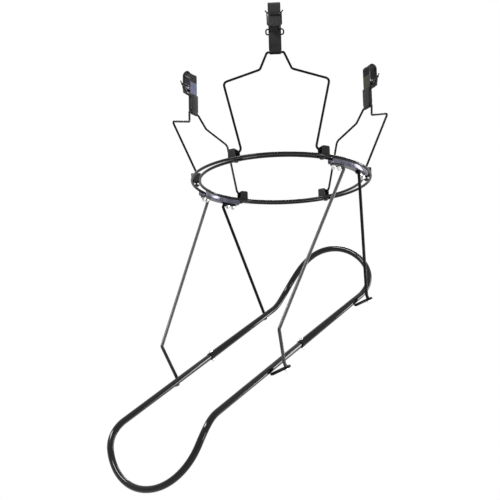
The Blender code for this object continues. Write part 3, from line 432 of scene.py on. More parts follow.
@dataclass(frozen=True)
class Moulding:
    """Moulded plastic with a fine spark grain, faint flow marks and rubbed edges."""

    label: str
    slot: str
    colour: Colour
    rubbed: Colour
    roughness: float
    sheen: float = 0.12
    grain_size: float = 0.00035
    grain_depth: float = 0.000022
    grain_haze: float = 0.12
    flow_size: float = 0.009
    flow_stretch: Colour = (1, 1, 2.5)
    flow_band: tuple[float, float] = (0.5, 0.75)
    flow_cover: float = 0.25
    flow_haze: float = 0.10
    edge_band: tuple[float, float] = (0.52, 0.62)
    edge_cover: float = 0.6

    def make(self) -> bpy.types.Material:
        """Build the plastic's material.

        Returns:
            The material.
        """
        bench = MaterialBench(self.label)
        grain = bench.noise(self.grain_size)
        flow = bench.noise(self.flow_size, 3, self.flow_stretch)
        edges = bench.edges(*self.edge_band) * self.edge_cover
        rub = edges + bench.band(flow, *self.flow_band) * self.flow_cover
        return bench.dress(
            Base_Color=bench.blend(rub, self.colour, self.rubbed),
            Roughness=grain * self.grain_haze + flow * self.flow_haze + self.roughness,
            Normal=bench.bump(grain, self.grain_depth),
            Specular_IOR_Level=self.sheen)


class Finish(Enum):
    """The finishes of the chute's pieces."""

    GLOSS_BLACK = Coat(
        "gloss black coat", "gloss_black", (0.003, 0.003, 0.004), (0.007, 0.007, 0.007), 0.09,
        sheen=0.24, peel_size=0.004, peel_depth=0.000004)
    WIRE_BLACK = Coat(
        "black wire coat", "gloss_black", (0.003, 0.003, 0.004), (0.007, 0.007, 0.007), 0.22,
        sheen=0.10)
    PRESSED_BLACK = Coat(
        "satin pressed steel coat", "gloss_black", (0.018, 0.018, 0.018), (0.024, 0.024, 0.023),
        0.33)
    # the lever's edges are lightened six times more than other coats' as a painted highlight on its
    # ridge
    LEVER_BLACK = Coat(
        "lever coat with painted edge highlight", "gloss_black", (0.026, 0.026, 0.025), (0.034, 0.034, 0.032), 0.28,
        wear_and_highlight=0.3)
    # front hangers: a black coat whose upper part carries a painted grey sheen in place of its
    # reflection
    HANGER_PAINTED_SHEEN = SheenPaintedCoat(
        "grey hanger coat", "satin_grey", (0.062, 0.062, 0.064), (0.09, 0.09, 0.088), 0.26)
    MOULDED_BODY = Moulding(
        "charcoal moulding", "dark_plastic", (0.018, 0.018, 0.019), (0.030, 0.030, 0.030), 0.40)
    SADDLE_ZINC = Plating(
        "blue bright zinc", "bright_zinc", (0.085, 0.086, 0.110), (0.13, 0.13, 0.165), 0.12)
    STRAP_BLUE = Lining(
        "blue passivated zinc", "bright_zinc", (0.054, 0.059, 0.098), (0.066, 0.071, 0.110), 0.34)
    # the same zinc as the blue linings, painted darker and olive as the reflection of a darker
    # surround
    STRAP_PAINTED_REFLECTION = Lining(
        "zinc with painted olive reflection", "bright_zinc", (0.053, 0.052, 0.038), (0.044, 0.043, 0.030), 0.34)
    BOLT_ZINC = Plating("pale bolt zinc", "pale_zinc", (0.62, 0.62, 0.62), (0.50, 0.50, 0.49), 0.16)
    DARK_BOLT = Coat(
        "black bolt coat", "black_bolt", (0.020, 0.020, 0.021), (0.040, 0.039, 0.036), 0.28)

    def material(self) -> bpy.types.Material:
        """The finish's material, made once."""
        return bpy.data.materials.get(self.value.label) or self.value.make()


# Mesh bench

def new_object(data: bpy.types.ID, name: str = "work") -> bpy.types.Object:
    """Link new data to the scene as an object.

    Args:
        data: A mesh, curve, light or camera.
        name: The object's name.
    Returns:
        The object.
    """
    thing = bpy.data.objects.new(name, data)
    bpy.context.scene.collection.objects.link(thing)
    return thing


def settled(build: bmesh.types.BMesh) -> Mesh:
    """Merge a bmesh's doubles, point its faces out and store it.

    Args:
        build: The bmesh, which is freed.
    Returns:
        The mesh.
    """
    bmesh.ops.remove_doubles(build, verts=build.verts, dist=MERGE)
    bmesh.ops.recalc_face_normals(build, faces=build.faces)
    mesh = bpy.data.meshes.new("work")
    build.to_mesh(mesh)
    build.free()
    return mesh


def evaluated(thing: bpy.types.Object) -> Mesh:
    """Make an object's modifiers plain.

    Args:
        thing: The object, which is removed.
    Returns:
        Its evaluated mesh.
    """
    graph = bpy.context.evaluated_depsgraph_get()
    mesh = bpy.data.meshes.new_from_object(thing.evaluated_get(graph))
    bpy.data.objects.remove(thing)
    return mesh


def combine(base: Mesh, joined: Sequence[Mesh] = (), cut: Sequence[Mesh] = (),
            kept: Sequence[Mesh] = ()) -> Mesh:
    """Join, intersect and subtract meshes with exact booleans.

    Args:
        base: The mesh to start from.
        joined: What is added to it.
        cut: What is taken away, last.
        kept: What it is trimmed to.
    Returns:
        The result, with its slivers dissolved.
    """
    body = new_object(base)
    tools = []
    for operation, meshes in (("UNION", joined), ("INTERSECT", kept), ("DIFFERENCE", cut)):
        for mesh in meshes:
            tool = new_object(mesh)
            tools.append(tool)
            step = body.modifiers.new(operation.title(), "BOOLEAN")
            step.solver = "EXACT"
            step.operation = operation
            step.object = tool
    bpy.context.view_layer.update()
    result = evaluated(body)
    for tool in tools:
        bpy.data.objects.remove(tool)
    build = bmesh.new()
    build.from_mesh(result)
    bmesh.ops.remove_doubles(build, verts=build.verts, dist=WELD)
    bmesh.ops.dissolve_limit(build, angle_limit=math.radians(FLAT_DEG), verts=build.verts,
                             edges=build.edges)
    return settled(build)


def softened(mesh: Mesh, width: float, segments: int = 2, limit_deg: float = 28) -> Mesh:
    """Round a mesh's sharp edges.

    Args:
        mesh: The mesh.
        width: The width of the rounding.
        segments: Its steps.
        limit_deg: The least angle of an edge that is rounded.
    Returns:
        The rounded mesh.
    """
    thing = new_object(mesh)
    step = thing.modifiers.new("edges", "BEVEL")
    step.width = width
    step.segments = segments
    step.limit_method = "ANGLE"
    step.angle_limit = math.radians(limit_deg)
    return evaluated(thing)


def moved(mesh: Mesh, matrix: Matrix) -> Mesh:
    """A copy of a mesh under a matrix, with its faces pointing out.

    Args:
        mesh: The mesh, which is kept.
        matrix: The move.
    Returns:
        The copy.
    """
    build = bmesh.new()
    build.from_mesh(mesh)
    bmesh.ops.transform(build, matrix=matrix, verts=build.verts)
    return settled(build)


def mirrored(mesh: Mesh) -> Mesh:
    """A mesh's mirror image across X."""
    return moved(mesh, Matrix.Scale(-1, 4, ACROSS))


def stood(mesh: Mesh, start: Vector, along: Vector) -> Mesh:
    """Stand a mesh made along +Z on a point, along a direction."""
    turn = UP.rotation_difference(along.normalized()).to_matrix().to_4x4()
    return moved(mesh, Matrix.Translation(start) @ turn)


def loft(rims: Sequence[Sequence[Vector]], capped: bool = True) -> Mesh:
    """Skin a row of closed rims.

    Args:
        rims: Points of each rim, as many in each.
        capped: Whether the ends are closed.
    Returns:
        The skin.
    """
    build = bmesh.new()
    rows = [[build.verts.new(point) for point in rim] for rim in rims]
    for first, second in zip(rows, rows[1:]):
        for index in range(len(first)):
            after = (index + 1) % len(first)
            build.faces.new((first[index], first[after], second[after], second[index]))
    if capped:
        build.faces.new(rows[0])
        build.faces.new(rows[-1])
    return settled(build)


def prism(outline: Outline, low: float, high: float,
          place: Callable[[float, float, float], Vector]) -> Mesh:
    """Extrude a plane outline.

    Args:
        outline: Its points.
        low: Where the extrusion starts.
        high: Where it ends.
        place: Turns two outline values and the extrusion's value into a point.
    Returns:
        The closed mesh.
    """
    return loft([[place(a, b, level) for a, b in outline] for level in (low, high)])


def turned(profile: Outline, sides: int = TURNED_SIDES) -> Mesh:
    """Turn a (radius, height) profile about +Z, from a pole or a flat end to the other.

    Args:
        profile: Its points from bottom to top.
        sides: The sides of the turned mesh.
    Returns:
        The closed mesh.
    """
    angles = [2 * math.pi * side / sides for side in range(sides)]
    return loft([[Vector((radius * math.cos(angle), radius * math.sin(angle), height))
                  for angle in angles] for radius, height in profile])


def pin(start: Vector, end: Vector, radius: float, sides: int = TURNED_SIDES) -> Mesh:
    """A plain cylinder between two points."""
    along = Vector(end) - Vector(start)
    return stood(turned([(radius, 0.0), (radius, along.length)], sides), Vector(start), along)


def arc(centre: tuple[float, float], radius: float, start_deg: float, sweep_deg: float,
        steps: int) -> Outline:
    """Points of a plane arc, both ends included.

    Args:
        centre: Its centre.
        radius: Its radius.
        start_deg: The angle where it starts.
        sweep_deg: The angle that it turns through.
        steps: Its steps.
    Returns:
        The points.
    """
    angles = [math.radians(start_deg + sweep_deg * step / steps) for step in range(steps + 1)]
    return [(centre[0] + radius * math.cos(angle), centre[1] + radius * math.sin(angle))
            for angle in angles]


def box_outline(centre: float, half: float, low: float, high: float) -> Outline:
    """A rectangle by its middle, half width, low and high side."""
    left, right = centre - half, centre + half
    return [(left, low), (right, low), (right, high), (left, high)]


def rounded_box(low: tuple[float, float], high: tuple[float, float], radii: Sequence[float],
                steps: int = 8) -> Outline:
    """A rectangle with its own radius at each corner.

    Args:
        low: Its low corner.
        high: Its high corner.
        radii: Radii at low-low, high-low, high-high and low-high.
        steps: The steps of each round corner.
    Returns:
        Its outline.
    """
    corners = ((low[0], low[1], 1, 1, 180), (high[0], low[1], -1, 1, 270),
               (high[0], high[1], -1, -1, 0), (low[0], high[1], 1, -1, 90))
    points: Outline = []
    for (across, up, side, lift, start), radius in zip(corners, radii):
        if radius:
            points += arc((across + side * radius, up + lift * radius), radius, start, 90, steps)
        else:
            points.append((across, up))
    return points


def strip(line: Outline, thickness: float) -> Outline:
    """The outline of a strip of even thickness along a plane line.

    Args:
        line: The strip's middle line.
        thickness: Its thickness.
    Returns:
        Its outline.
    """
    sides: tuple[Outline, Outline] = ([], [])
    for index, point in enumerate(line):
        before = Vector(line[max(index - 1, 0)])
        after = Vector(line[min(index + 1, len(line) - 1)])
        along = (after - before).normalized()
        for side, half in zip(sides, (thickness / 2, -thickness / 2)):
            side.append((point[0] - along.y * half, point[1] + along.x * half))
    return sides[0] + sides[1][::-1]


def bent(corners: Sequence[Vector], radii: Sequence[float]) -> list[Vector]:
    """A line through corner points with a smooth bend at each inner corner.

    Args:
        corners: The corner points.
        radii: The radius of each inner corner's bend.
    Returns:
        The line's points.
    """
    points = [Vector(corners[0])]
    for index in range(1, len(corners) - 1):
        corner = Vector(corners[index])
        back = (Vector(corners[index - 1]) - corner).normalized()
        ahead = (Vector(corners[index + 1]) - corner).normalized()
        opening = back.angle(ahead)
        turn = math.pi - opening
        radius = radii[index - 1]
        centre = corner + (back + ahead).normalized() * (radius / math.sin(opening / 2))
        start = corner + back * (radius / math.tan(opening / 2)) - centre
        axis = back.cross(ahead).normalized()
        steps = max(3, round(math.degrees(turn) / BEND_STEP_DEG))
        for count in range(steps + 1):
            points.append(centre + Matrix.Rotation(-turn * count / steps, 3, axis) @ start)
    points.append(Vector(corners[-1]))
    return points


def circle_point(radius: float, degrees: float, height: float) -> Vector:
    """A point on a level circle, by its angle from -Y towards +X."""
    angle = math.radians(degrees)
    return Vector((radius * math.sin(angle), -radius * math.cos(angle), height))


# Geometry node tools

class GeometryBench(NodeBench):
    """A geometry node tree with named inputs, which is put on an object and then made plain."""

    def __init__(self, label: str, inputs: dict[str, str]) -> None:
        """Start a tree.

        Args:
            label: The tree's name.
            inputs: The socket type of each named input.
        """
        super().__init__(bpy.data.node_groups.new(label, "GeometryNodeTree"))
        face = self.tree.interface
        face.new_socket("Geometry", in_out="INPUT", socket_type="NodeSocketGeometry")
        self.keys = {name: face.new_socket(name, in_out="INPUT", socket_type=kind).identifier
                     for name, kind in inputs.items()}
        face.new_socket("Geometry", in_out="OUTPUT", socket_type="NodeSocketGeometry")
        self.start = self.tree.nodes.new("NodeGroupInput")

    def value(self, name: str) -> Signal:
        """A named input as a signal."""
        return Signal(self.tree, self.start.outputs[name])

    def close(self, geometry: Signal) -> None:
        """End the tree with Realize Instances and Set Material.

        Args:
            geometry: The tree's result.
        """
        real = self.signal("GeometryNodeRealizeInstances", 0, None, {"Geometry": geometry})
        dressed = self.signal("GeometryNodeSetMaterial", 0, None,
                              {"Geometry": real, "Material": self.value("Material")})
        self.add("NodeGroupOutput", None, {0: dressed})

    def make(self, thing: bpy.types.Object, values: dict[str, object]) -> Mesh:
        """Run the tree on an object.

        Args:
            thing: The object, which is removed.
            values: The tree's inputs by name.
        Returns:
            The plain mesh.
        """
        step = thing.modifiers.new("work", "NODES")
        step.node_group = self.tree
        for name, value in values.items():
            step[self.keys[name]] = value
        return evaluated(thing)


class WireSweep(GeometryBench):
    """Sweeps a round section along a line, with closed flat ends."""

    def __init__(self) -> None:
        """Build the tree."""
        super().__init__("wire sweep", {"Radius": "NodeSocketFloat", "Sides": "NodeSocketInt",
                                        "Material": "NodeSocketMaterial"})
        circle = self.signal("GeometryNodeCurvePrimitiveCircle", "Curve", None,
                             {"Resolution": self.value("Sides"), "Radius": self.value("Radius")})
        swept = self.signal(
            "GeometryNodeCurveToMesh", 0, None,
            {"Curve": self.value("Geometry"), "Profile Curve": circle, "Fill Caps": True})
        self.close(swept)

    def wire(self, points: Sequence[Vector], radius: float, finish: Finish,
             sides: int = WIRE_SIDES) -> Mesh:
        """Sweep a wire.

        Args:
            points: Its middle line.
            radius: Its radius.
            finish: Its finish.
            sides: The sides of its section.
        Returns:
            The wire's mesh.
        """
        curve = bpy.data.curves.new("line", "CURVE")
        curve.dimensions = "3D"
        spline = curve.splines.new("POLY")
        spline.points.add(len(points) - 1)
        for knot, point in zip(spline.points, points):
            knot.co = (*point, 1)
        values = {"Radius": radius, "Sides": sides, "Material": finish.material()}
        return moved(self.make(new_object(curve), values), Matrix())


class ThreadCutter(GeometryBench):
    """Makes a threaded stem along +Z from the origin, whose ridges follow the pitch."""

    ROWS_A_TURN = 6
    DEPTH_SHARE = 0.5

    def __init__(self) -> None:
        """Build the tree."""
        floats = {name: "NodeSocketFloat" for name in ("Radius", "Length", "Pitch", "Depth")}
        super().__init__("thread", {**floats, "Sides": "NodeSocketInt", "Rows": "NodeSocketInt",
                                    "Material": "NodeSocketMaterial"})
        stem = self.signal("GeometryNodeMeshCylinder", "Mesh", None,
                           {"Vertices": self.value("Sides"), "Side Segments": self.value("Rows"),
                            "Radius": self.value("Radius"), "Depth": self.value("Length")})
        parts = self.add("ShaderNodeSeparateXYZ", None,
                         {0: self.signal("GeometryNodeInputPosition", 0)})
        across, aside, height = (Signal(self.tree, output) for output in parts.outputs)
        turn = across.math("ARCTAN2", aside, across) / (2 * math.pi)
        place = height / self.value("Pitch") - turn
        wave = across.math("ABSOLUTE", across.math("FRACT", place) * 2 - 1)
        shrink = 1 - wave * self.value("Depth") / self.value("Radius")
        spot = self.signal("ShaderNodeCombineXYZ", 0, None,
                           {0: across * shrink, 1: aside * shrink, 2: height})
        cut = self.signal("GeometryNodeSetPosition", 0, None, {"Geometry": stem, "Position": spot})
        self.close(cut)

    def stem(self, radius: float, length: float, pitch: float, finish: Finish) -> Mesh:
        """Cut a stem.

        Args:
            radius: The thread's outer radius.
            length: The stem's length.
            pitch: The thread's pitch.
            finish: The stem's finish.
        Returns:
            The stem's mesh, from the origin up +Z.
        """
        values = {"Radius": radius, "Length": length, "Pitch": pitch,
                  "Depth": pitch * self.DEPTH_SHARE, "Sides": WIRE_SIDES,
                  "Rows": round(length / pitch * self.ROWS_A_TURN), "Material": finish.material()}
        mesh = self.make(new_object(bpy.data.meshes.new("work")), values)
        return moved(mesh, Matrix.Translation((0, 0, length / 2)))


class Tools:
    """The geometry node tools, made once for all sub-assemblies."""

    def __init__(self) -> None:
        """Build each tool's tree."""
        self.sweep = WireSweep()
        self.threads = ThreadCutter()


def fit(name: str, mesh: Mesh, finish: Finish, body: str) -> bpy.types.Object:
    """Put a finished mesh on its body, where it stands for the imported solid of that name.

    Args:
        name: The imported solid's name.
        mesh: The finished mesh, in place.
        finish: Its finish.
        body: The body that it rides on.
    Returns:
        The piece.
    """
    mesh.name = f"{name}_finished"
    mesh.materials.clear()
    mesh.materials.append(finish.material())
    mesh.shade_smooth()
    mesh.set_sharp_from_angle(angle=math.radians(SHARP_DEG))
    piece = new_object(mesh, mesh.name)
    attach(piece, body)
    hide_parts(name)
    LOG.info("%s rides on %s with %d faces", piece.name, body, len(mesh.polygons))
    return piece


def fit_pair(name: str, mesh: Mesh, finish: Finish) -> None:
    """Fit a piece of the ring or the chute on both sides.

    Args:
        name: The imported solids' name, with {} where it says the side.
        mesh: The +X side's finished mesh.
        finish: Its finish.
    """
    fit(name.format("left"), mirrored(mesh), finish, CHUTE_BODY)
    fit(name.format("right"), mesh, finish, CHUTE_BODY)


# Bolts

class Head(Enum):
    """The shapes of bolt heads."""

    HEX = "hex"
    DOME = "dome"


@dataclass(frozen=True)
class Bolt:
    """A bolt with its nut and, where it has one, a wide washer under the nut."""

    shank_r: float
    head_r: float
    head_height: float
    nut_r: float
    nut_height: float
    tip: float
    head: Head = Head.HEX
    washer_r: float = 0.0
    washer_height: float = 0.0
    pitch: float = 0.001
    core_share: float = 0.97
    chamfer_share: float = 0.6
    washer_edge_share: float = 0.2
    dome_steps: int = 8

    def hexagon(self, radius: float, low: float, high: float) -> Mesh:
        """A hexagon along +Z with its corners chamfered at both ends.

        Args:
            radius: The radius at its corners.
            low: The height of its lower end.
            high: The height of its upper end.
        Returns:
            The closed mesh.
        """
        flat = radius * math.cos(math.pi / 6)
        drop = (radius - flat) * self.chamfer_share
        lens = turned([(0, low), (flat, low), (radius, low + drop), (radius, high - drop),
                       (flat, high), (0, high)])
        return combine(turned([(radius, low), (radius, high)], 6), kept=(lens,))

    def head_mesh(self) -> Mesh:
        """Build the head below the origin.

        Returns:
            The closed mesh.
        """
        if self.head is Head.HEX:
            return self.hexagon(self.head_r, -self.head_height, 0)
        rise = self.head_height / 2
        angles = [step * math.pi / (2 * self.dome_steps) for step in range(self.dome_steps + 1)]
        crown = [(self.head_r * math.sin(angle), -rise - rise * math.cos(angle))
                 for angle in angles]
        return turned(crown + [(self.head_r, 0), (0, 0)])

    def washer(self, top: float) -> Mesh:
        """Build the washer under a height.

        Args:
            top: The height of its upper face.
        Returns:
            The closed mesh.
        """
        edge = self.washer_height * self.washer_edge_share
        low = top - self.washer_height
        rim = self.washer_r - edge
        return turned([(0, low), (rim, low), (self.washer_r, low + edge),
                       (self.washer_r, top - edge), (rim, top), (0, top)])

    def mesh(self, tools: Tools, grip: float, finish: Finish) -> Mesh:
        """Build the bolt along +Z, with the underside of its head at the origin.

        Args:
            tools: The shared tools.
            grip: The length between the head and the nut or its washer.
            finish: The bolt's finish.
        Returns:
            The closed mesh.
        """
        end = grip + self.nut_height + self.tip
        core = pin(UP * -self.head_height / 2, UP * (grip + self.nut_height / 2),
                   self.shank_r * self.core_share, SCREW_SIDES)
        start = max(grip * 0.5, grip - self.pitch)
        thread = tools.threads.stem(self.shank_r, end - start, self.pitch, finish)
        stem = moved(thread, Matrix.Translation(UP * start))
        nut = self.hexagon(self.nut_r, grip, grip + self.nut_height)
        washers = (self.washer(grip),) if self.washer_r else ()
        return combine(stem, joined=(core, nut, self.head_mesh(), *washers))


# Brackets and clips

@dataclass(frozen=True)
class Bracket:
    """The wire bracket between a clip's bar and its two guide blocks."""

    tools: Tools
    wire_r: float = 0.0024
    bend_r: float = 0.008
    foot_bend_r: float = 0.0085
    bar_circle_r: float = 0.2262
    bar_drop: float = 0.0897
    bar_width: float = 0.0336
    neck_width: float = 0.0636
    neck_drop: float = 0.1206
    shoulder_width: float = 0.2106
    shoulder_drop: float = 0.1420
    foot_width: float = 0.147
    end_width: float = 0.1938
    axis_circle_r: float = 0.1604
    axis_z: float = -0.273

    def mesh(self) -> Mesh:
        """Bend the wire from one block, over both shoulders, to the other.

        Returns:
            The closed mesh.
        """
        lean = (self.bar_circle_r - self.axis_circle_r) / (-self.axis_z - self.bar_drop)
        corners = ((self.bar_width, self.bar_drop), (self.neck_width, self.neck_drop),
                   (self.shoulder_width, self.shoulder_drop), (self.foot_width, -self.axis_z),
                   (self.end_width, -self.axis_z))
        right = [Vector((width / 2, lean * (drop - self.bar_drop) - self.bar_circle_r, -drop))
                 for width, drop in corners]
        left = [Vector((-point.x, point.y, point.z)) for point in right]
        bends = [self.foot_bend_r, self.bend_r, self.bend_r, self.bend_r / 2]
        line = bent(right[::-1] + left, bends + bends[::-1])
        return self.tools.sweep.wire(line, self.wire_r, Finish.WIRE_BLACK)


@dataclass(frozen=True)
class Clip:
    """An over-centre clip: strap, moulded body, toggle wire, lever and bail."""

    tools: Tools
    bracket: Bracket
    circle_r: float = 0.2365
    tube_r: float = 0.008
    strap_width: float = 0.025
    strap_thickness: float = 0.0024
    strap_tube_gap: float = 0.0004
    strap_leg_drop: float = 0.0152
    bend_steps: int = 40
    tail_width: float = 0.016
    tail_depth: float = 0.024
    tail_share: float = 0.48
    lip_r: float = 0.0034
    lip_sweep_deg: float = 140
    lip_steps: int = 24
    tongue_rise: float = 0.0022
    tongue_shares: tuple[float, ...] = (0.2, 0.4, 0.6, 0.75, 0.9, 1.1)
    body_top_drop: float = 0.0463
    body_thickness: float = 0.0088
    body_step_drop: float = 0.076
    body_step: float = 0.0007
    step_share: float = 1.5
    panel_half: float = 0.0083
    knuckle_gap: float = 0.00035
    knuckle_wall: float = 0.0014
    knuckle_width: float = 0.022
    mouth_share: float = 0.8
    mouth_deg: float = -50
    toggle_r: float = 0.0015
    toggle_bend_r: float = 0.0038
    toggle_top_bend_r: float = 0.0016
    arm_spacing: float = 0.017
    loop_spacing: float = 0.035
    loop_height: float = 0.0088
    end_spacing: float = 0.020
    anchor_drop: float = 0.0525
    pivot_out: float = 0.009
    pivot_drop: float = 0.025
    plate: float = 0.0015
    plate_bends: tuple[float, float, float] = (0.6, 2, 4)
    barrel_r: float = 0.003
    barrel_width: float = 0.014
    lever_width: float = 0.0248
    tab_width: float = 0.0295
    lever_height: float = 0.0165
    tab_height: float = 0.0045
    shoulder: float = 0.001
    tab_bow: float = 0.6
    tab_steps: int = 16
    crown: float = 0.0031
    ridge_out: float = 0.0026
    toe_out: float = -0.0018
    finger_hole_r: float = 0.0015
    finger_hole_drop: float = 0.0108
    bail_r: float = 0.00125
    foot_in: float = 0.006
    foot_drop: float = 0.0115
    side_gap: float = 0.0003
    ear_out: float = 0.0035
    ear_rise: float = 0.0048
    ear_bend_r: float = 0.0015
    foot_bend_r: float = 0.0013
    ear_edge: float = 0.0028

    @property
    def strap_r(self) -> float:
        """The radius of the strap's middle line over the support tube."""
        return self.tube_r + self.strap_tube_gap + self.strap_thickness / 2

    @property
    def bar(self) -> tuple[float, float]:
        """The bracket's bar, as a distance out and a height."""
        return self.bracket.bar_circle_r - self.circle_r, -self.bracket.bar_drop

    @property
    def knuckle_r(self) -> float:
        """The outer radius of the body's knuckle on the bar."""
        return self.bracket.wire_r + self.knuckle_gap + self.knuckle_wall

    @property
    def bail_foot(self) -> tuple[float, float]:
        """The bail's feet, as a distance out and a height."""
        return self.pivot_out - self.foot_in, -self.pivot_drop - self.foot_drop

    def at(self, out: float, height: float, across: float = 0) -> Vector:
        """A point of the -Y station by its distance outside the support circle."""
        return Vector((across, -(self.circle_r + out), height))

    def profile(self, outline: Outline, half: float) -> Mesh:
        """Extrude a (distance out, height) outline across the station."""
        return prism(outline, -half, half, self.at)

    def face(self, outline: Outline, low: float, high: float) -> Mesh:
        """Extrude an (across, height) outline along the station's outward direction."""
        return prism(outline, low, high, lambda across, height, out: self.at(out, height, across))

    def cross_pin(self, out: float, height: float, half: float, radius: float) -> Mesh:
        """A pin across the station, by its place, its half length and its radius."""
        return pin(self.at(out, height, -half), self.at(out, height, half), radius)

    def tongue_trims(self) -> list[Mesh]:
        """Make the two cutters that round the lip's lower corners into a tongue.

        Returns:
            The cutters, one for each side.
        """
        low = -self.strap_leg_drop - self.lip_r - self.strap_thickness
        edge = low + self.strap_thickness / 2 + SEAT_GAP
        half = self.strap_width / 2
        shares = self.tongue_shares
        bow = [(half * share, edge + self.tongue_rise * share ** 3) for share in shares]
        outline = bow + [(half * shares[-1], low), (half * shares[0], low)]
        cutter = self.face(outline, self.strap_r / 2, self.strap_r * 3)
        return [cutter, mirrored(cutter)]

    def strap(self) -> Mesh:
        """Build the strap over the tube, with its lip outside and its tail in the body.

        Returns:
            The closed mesh.
        """
        top = -self.body_top_drop
        line = [(-self.strap_r, top + SEAT_GAP), (-self.strap_r, top / 2)]
        line += arc((0, 0), self.strap_r, 180, -180, self.bend_steps)
        line += arc((self.strap_r + self.lip_r, -self.strap_leg_drop), self.lip_r, 180,
                    self.lip_sweep_deg, self.lip_steps)
        band = self.profile(strip(line, self.strap_thickness), self.strap_width / 2)
        band = softened(combine(band, cut=self.tongue_trims()), THICK_EDGE, 3)
        tail = self.profile(box_outline(-self.strap_r, self.strap_thickness * self.tail_share,
                                        top - self.tail_depth, top + self.strap_thickness),
                            self.tail_width / 2)
        return combine(band, joined=(tail,))

    def shell(self) -> Mesh:
        """Build the outside of the moulded body: trunk, stepped panel and knuckle.

        Returns:
            The closed mesh.
        """
        bar_out, bar_z = self.bar
        knuckle_r = self.knuckle_r
        back = -self.strap_r - self.body_thickness / 2
        front = -self.strap_r + self.body_thickness / 2
        top = -self.body_top_drop
        neck = bar_z + knuckle_r
        low = bar_z - knuckle_r * 2
        outline = [(back, top), (back, neck), (bar_out - knuckle_r, bar_z),
                   (bar_out, bar_z - knuckle_r / 4), (bar_out + knuckle_r, bar_z),
                   (front - self.body_step, neck), (front, bar_z + knuckle_r * self.step_share),
                   (front, top)]
        half = self.strap_width / 2
        low_half = self.knuckle_width / 2
        plan = [(-low_half, low), (low_half, low), (low_half, neck), (half, neck + self.body_step),
                (half, top), (-half, top), (-half, neck + self.body_step), (-low_half, neck)]
        over = OVERRUN * 4
        trunk = combine(self.profile(outline, half),
                        kept=(self.face(plan, back - over, front + over),))
        barrel = self.cross_pin(bar_out, bar_z, low_half, knuckle_r)
        step = rounded_box((-self.panel_half, low), (self.panel_half, -self.body_step_drop),
                           (0, 0, self.body_step, self.body_step))
        panel = self.face(step, front - self.body_step, front + over)
        return softened(combine(trunk, joined=(barrel,), cut=(panel,)), THICK_EDGE, 3)

    def mouth(self) -> Mesh:
        """Make the cutter of the slanting mouth through which the knuckle snaps onto the bar.

        Returns:
            The cutter.
        """
        slope = math.radians(self.mouth_deg)
        along = Vector((math.cos(slope), math.sin(slope)))
        aside = Vector((-along.y, along.x)) * (self.bracket.wire_r * self.mouth_share)
        bar = Vector(self.bar)
        far = along * (self.knuckle_r * 2)
        corners = (bar - aside, bar - aside + far, bar + aside + far, bar + aside)
        return self.profile([tuple(corner) for corner in corners], self.strap_width)

    def body(self) -> Mesh:
        """Build the moulded body with its pocket, side holes and knuckle.

        Returns:
            The closed mesh.
        """
        shell = self.shell()
        top = -self.body_top_drop
        pocket = self.profile(box_outline(-self.strap_r, self.strap_thickness / 2 + SEAT_GAP,
                                          top - self.tail_depth - SEAT_GAP, top + OVERRUN),
                              self.tail_width / 2 + SEAT_GAP)
        holes = []
        for side in (-1, 1):
            inner, outer = (self.at(-self.strap_r, -self.anchor_drop, side * half) for half in
                            (self.end_spacing / 2 - SEAT_GAP, self.strap_width / 2 + OVERRUN))
            holes.append(pin(inner, outer, self.toggle_r + SEAT_GAP, SCREW_SIDES))
        bore = self.cross_pin(*self.bar, self.strap_width, self.bracket.wire_r + self.knuckle_gap)
        return combine(shell, cut=(pocket, *holes, bore, self.mouth()))

    def toggle(self) -> Mesh:
        """Build the wire from the body's side holes, out in two loops and up to the lever's barrel.

        Returns:
            The closed mesh.
        """
        fall = (self.pivot_out + self.strap_r) / (self.anchor_drop - self.pivot_drop)
        loop_drop = self.anchor_drop - self.loop_height
        corners = ((self.end_spacing, self.anchor_drop), (self.loop_spacing, self.anchor_drop),
                   (self.loop_spacing, loop_drop), (self.arm_spacing, loop_drop),
                   (self.arm_spacing, self.pivot_drop))
        right = [self.at(self.pivot_out - fall * (drop - self.pivot_drop), -drop, spacing / 2)
                 for spacing, drop in corners]
        left = [Vector((-point.x, point.y, point.z)) for point in reversed(right)]
        radii = [self.toggle_bend_r] * 3 + [self.toggle_top_bend_r] * 2 + [self.toggle_bend_r] * 3
        return self.tools.sweep.wire(bent(right + left, radii), self.toggle_r, Finish.WIRE_BLACK)

    def lever_front(self, top: float, foot: float) -> Outline:
        """Draw the lever seen from outside, with its shoulders and its bowed thumb tab.

        Args:
            top: The height of its upper edge.
            foot: The height of its lower edge.
        Returns:
            Its (across, height) outline.
        """
        half = self.lever_width / 2
        tab = self.tab_width / 2
        tab_top = foot + self.tab_height
        front = [(half, top + OVERRUN), (half, tab_top + self.shoulder), (tab, tab_top)]
        for step in range(1, self.tab_steps + 1):
            swing = math.pi / 2 * step / self.tab_steps
            across = tab * math.cos(swing) ** self.tab_bow
            rise = (tab_top - self.shoulder - foot) * (1 - math.sin(swing))
            front.append((across, foot - SEAT_GAP + rise))
        return front + [(-across, height) for across, height in reversed(front[:-1])]

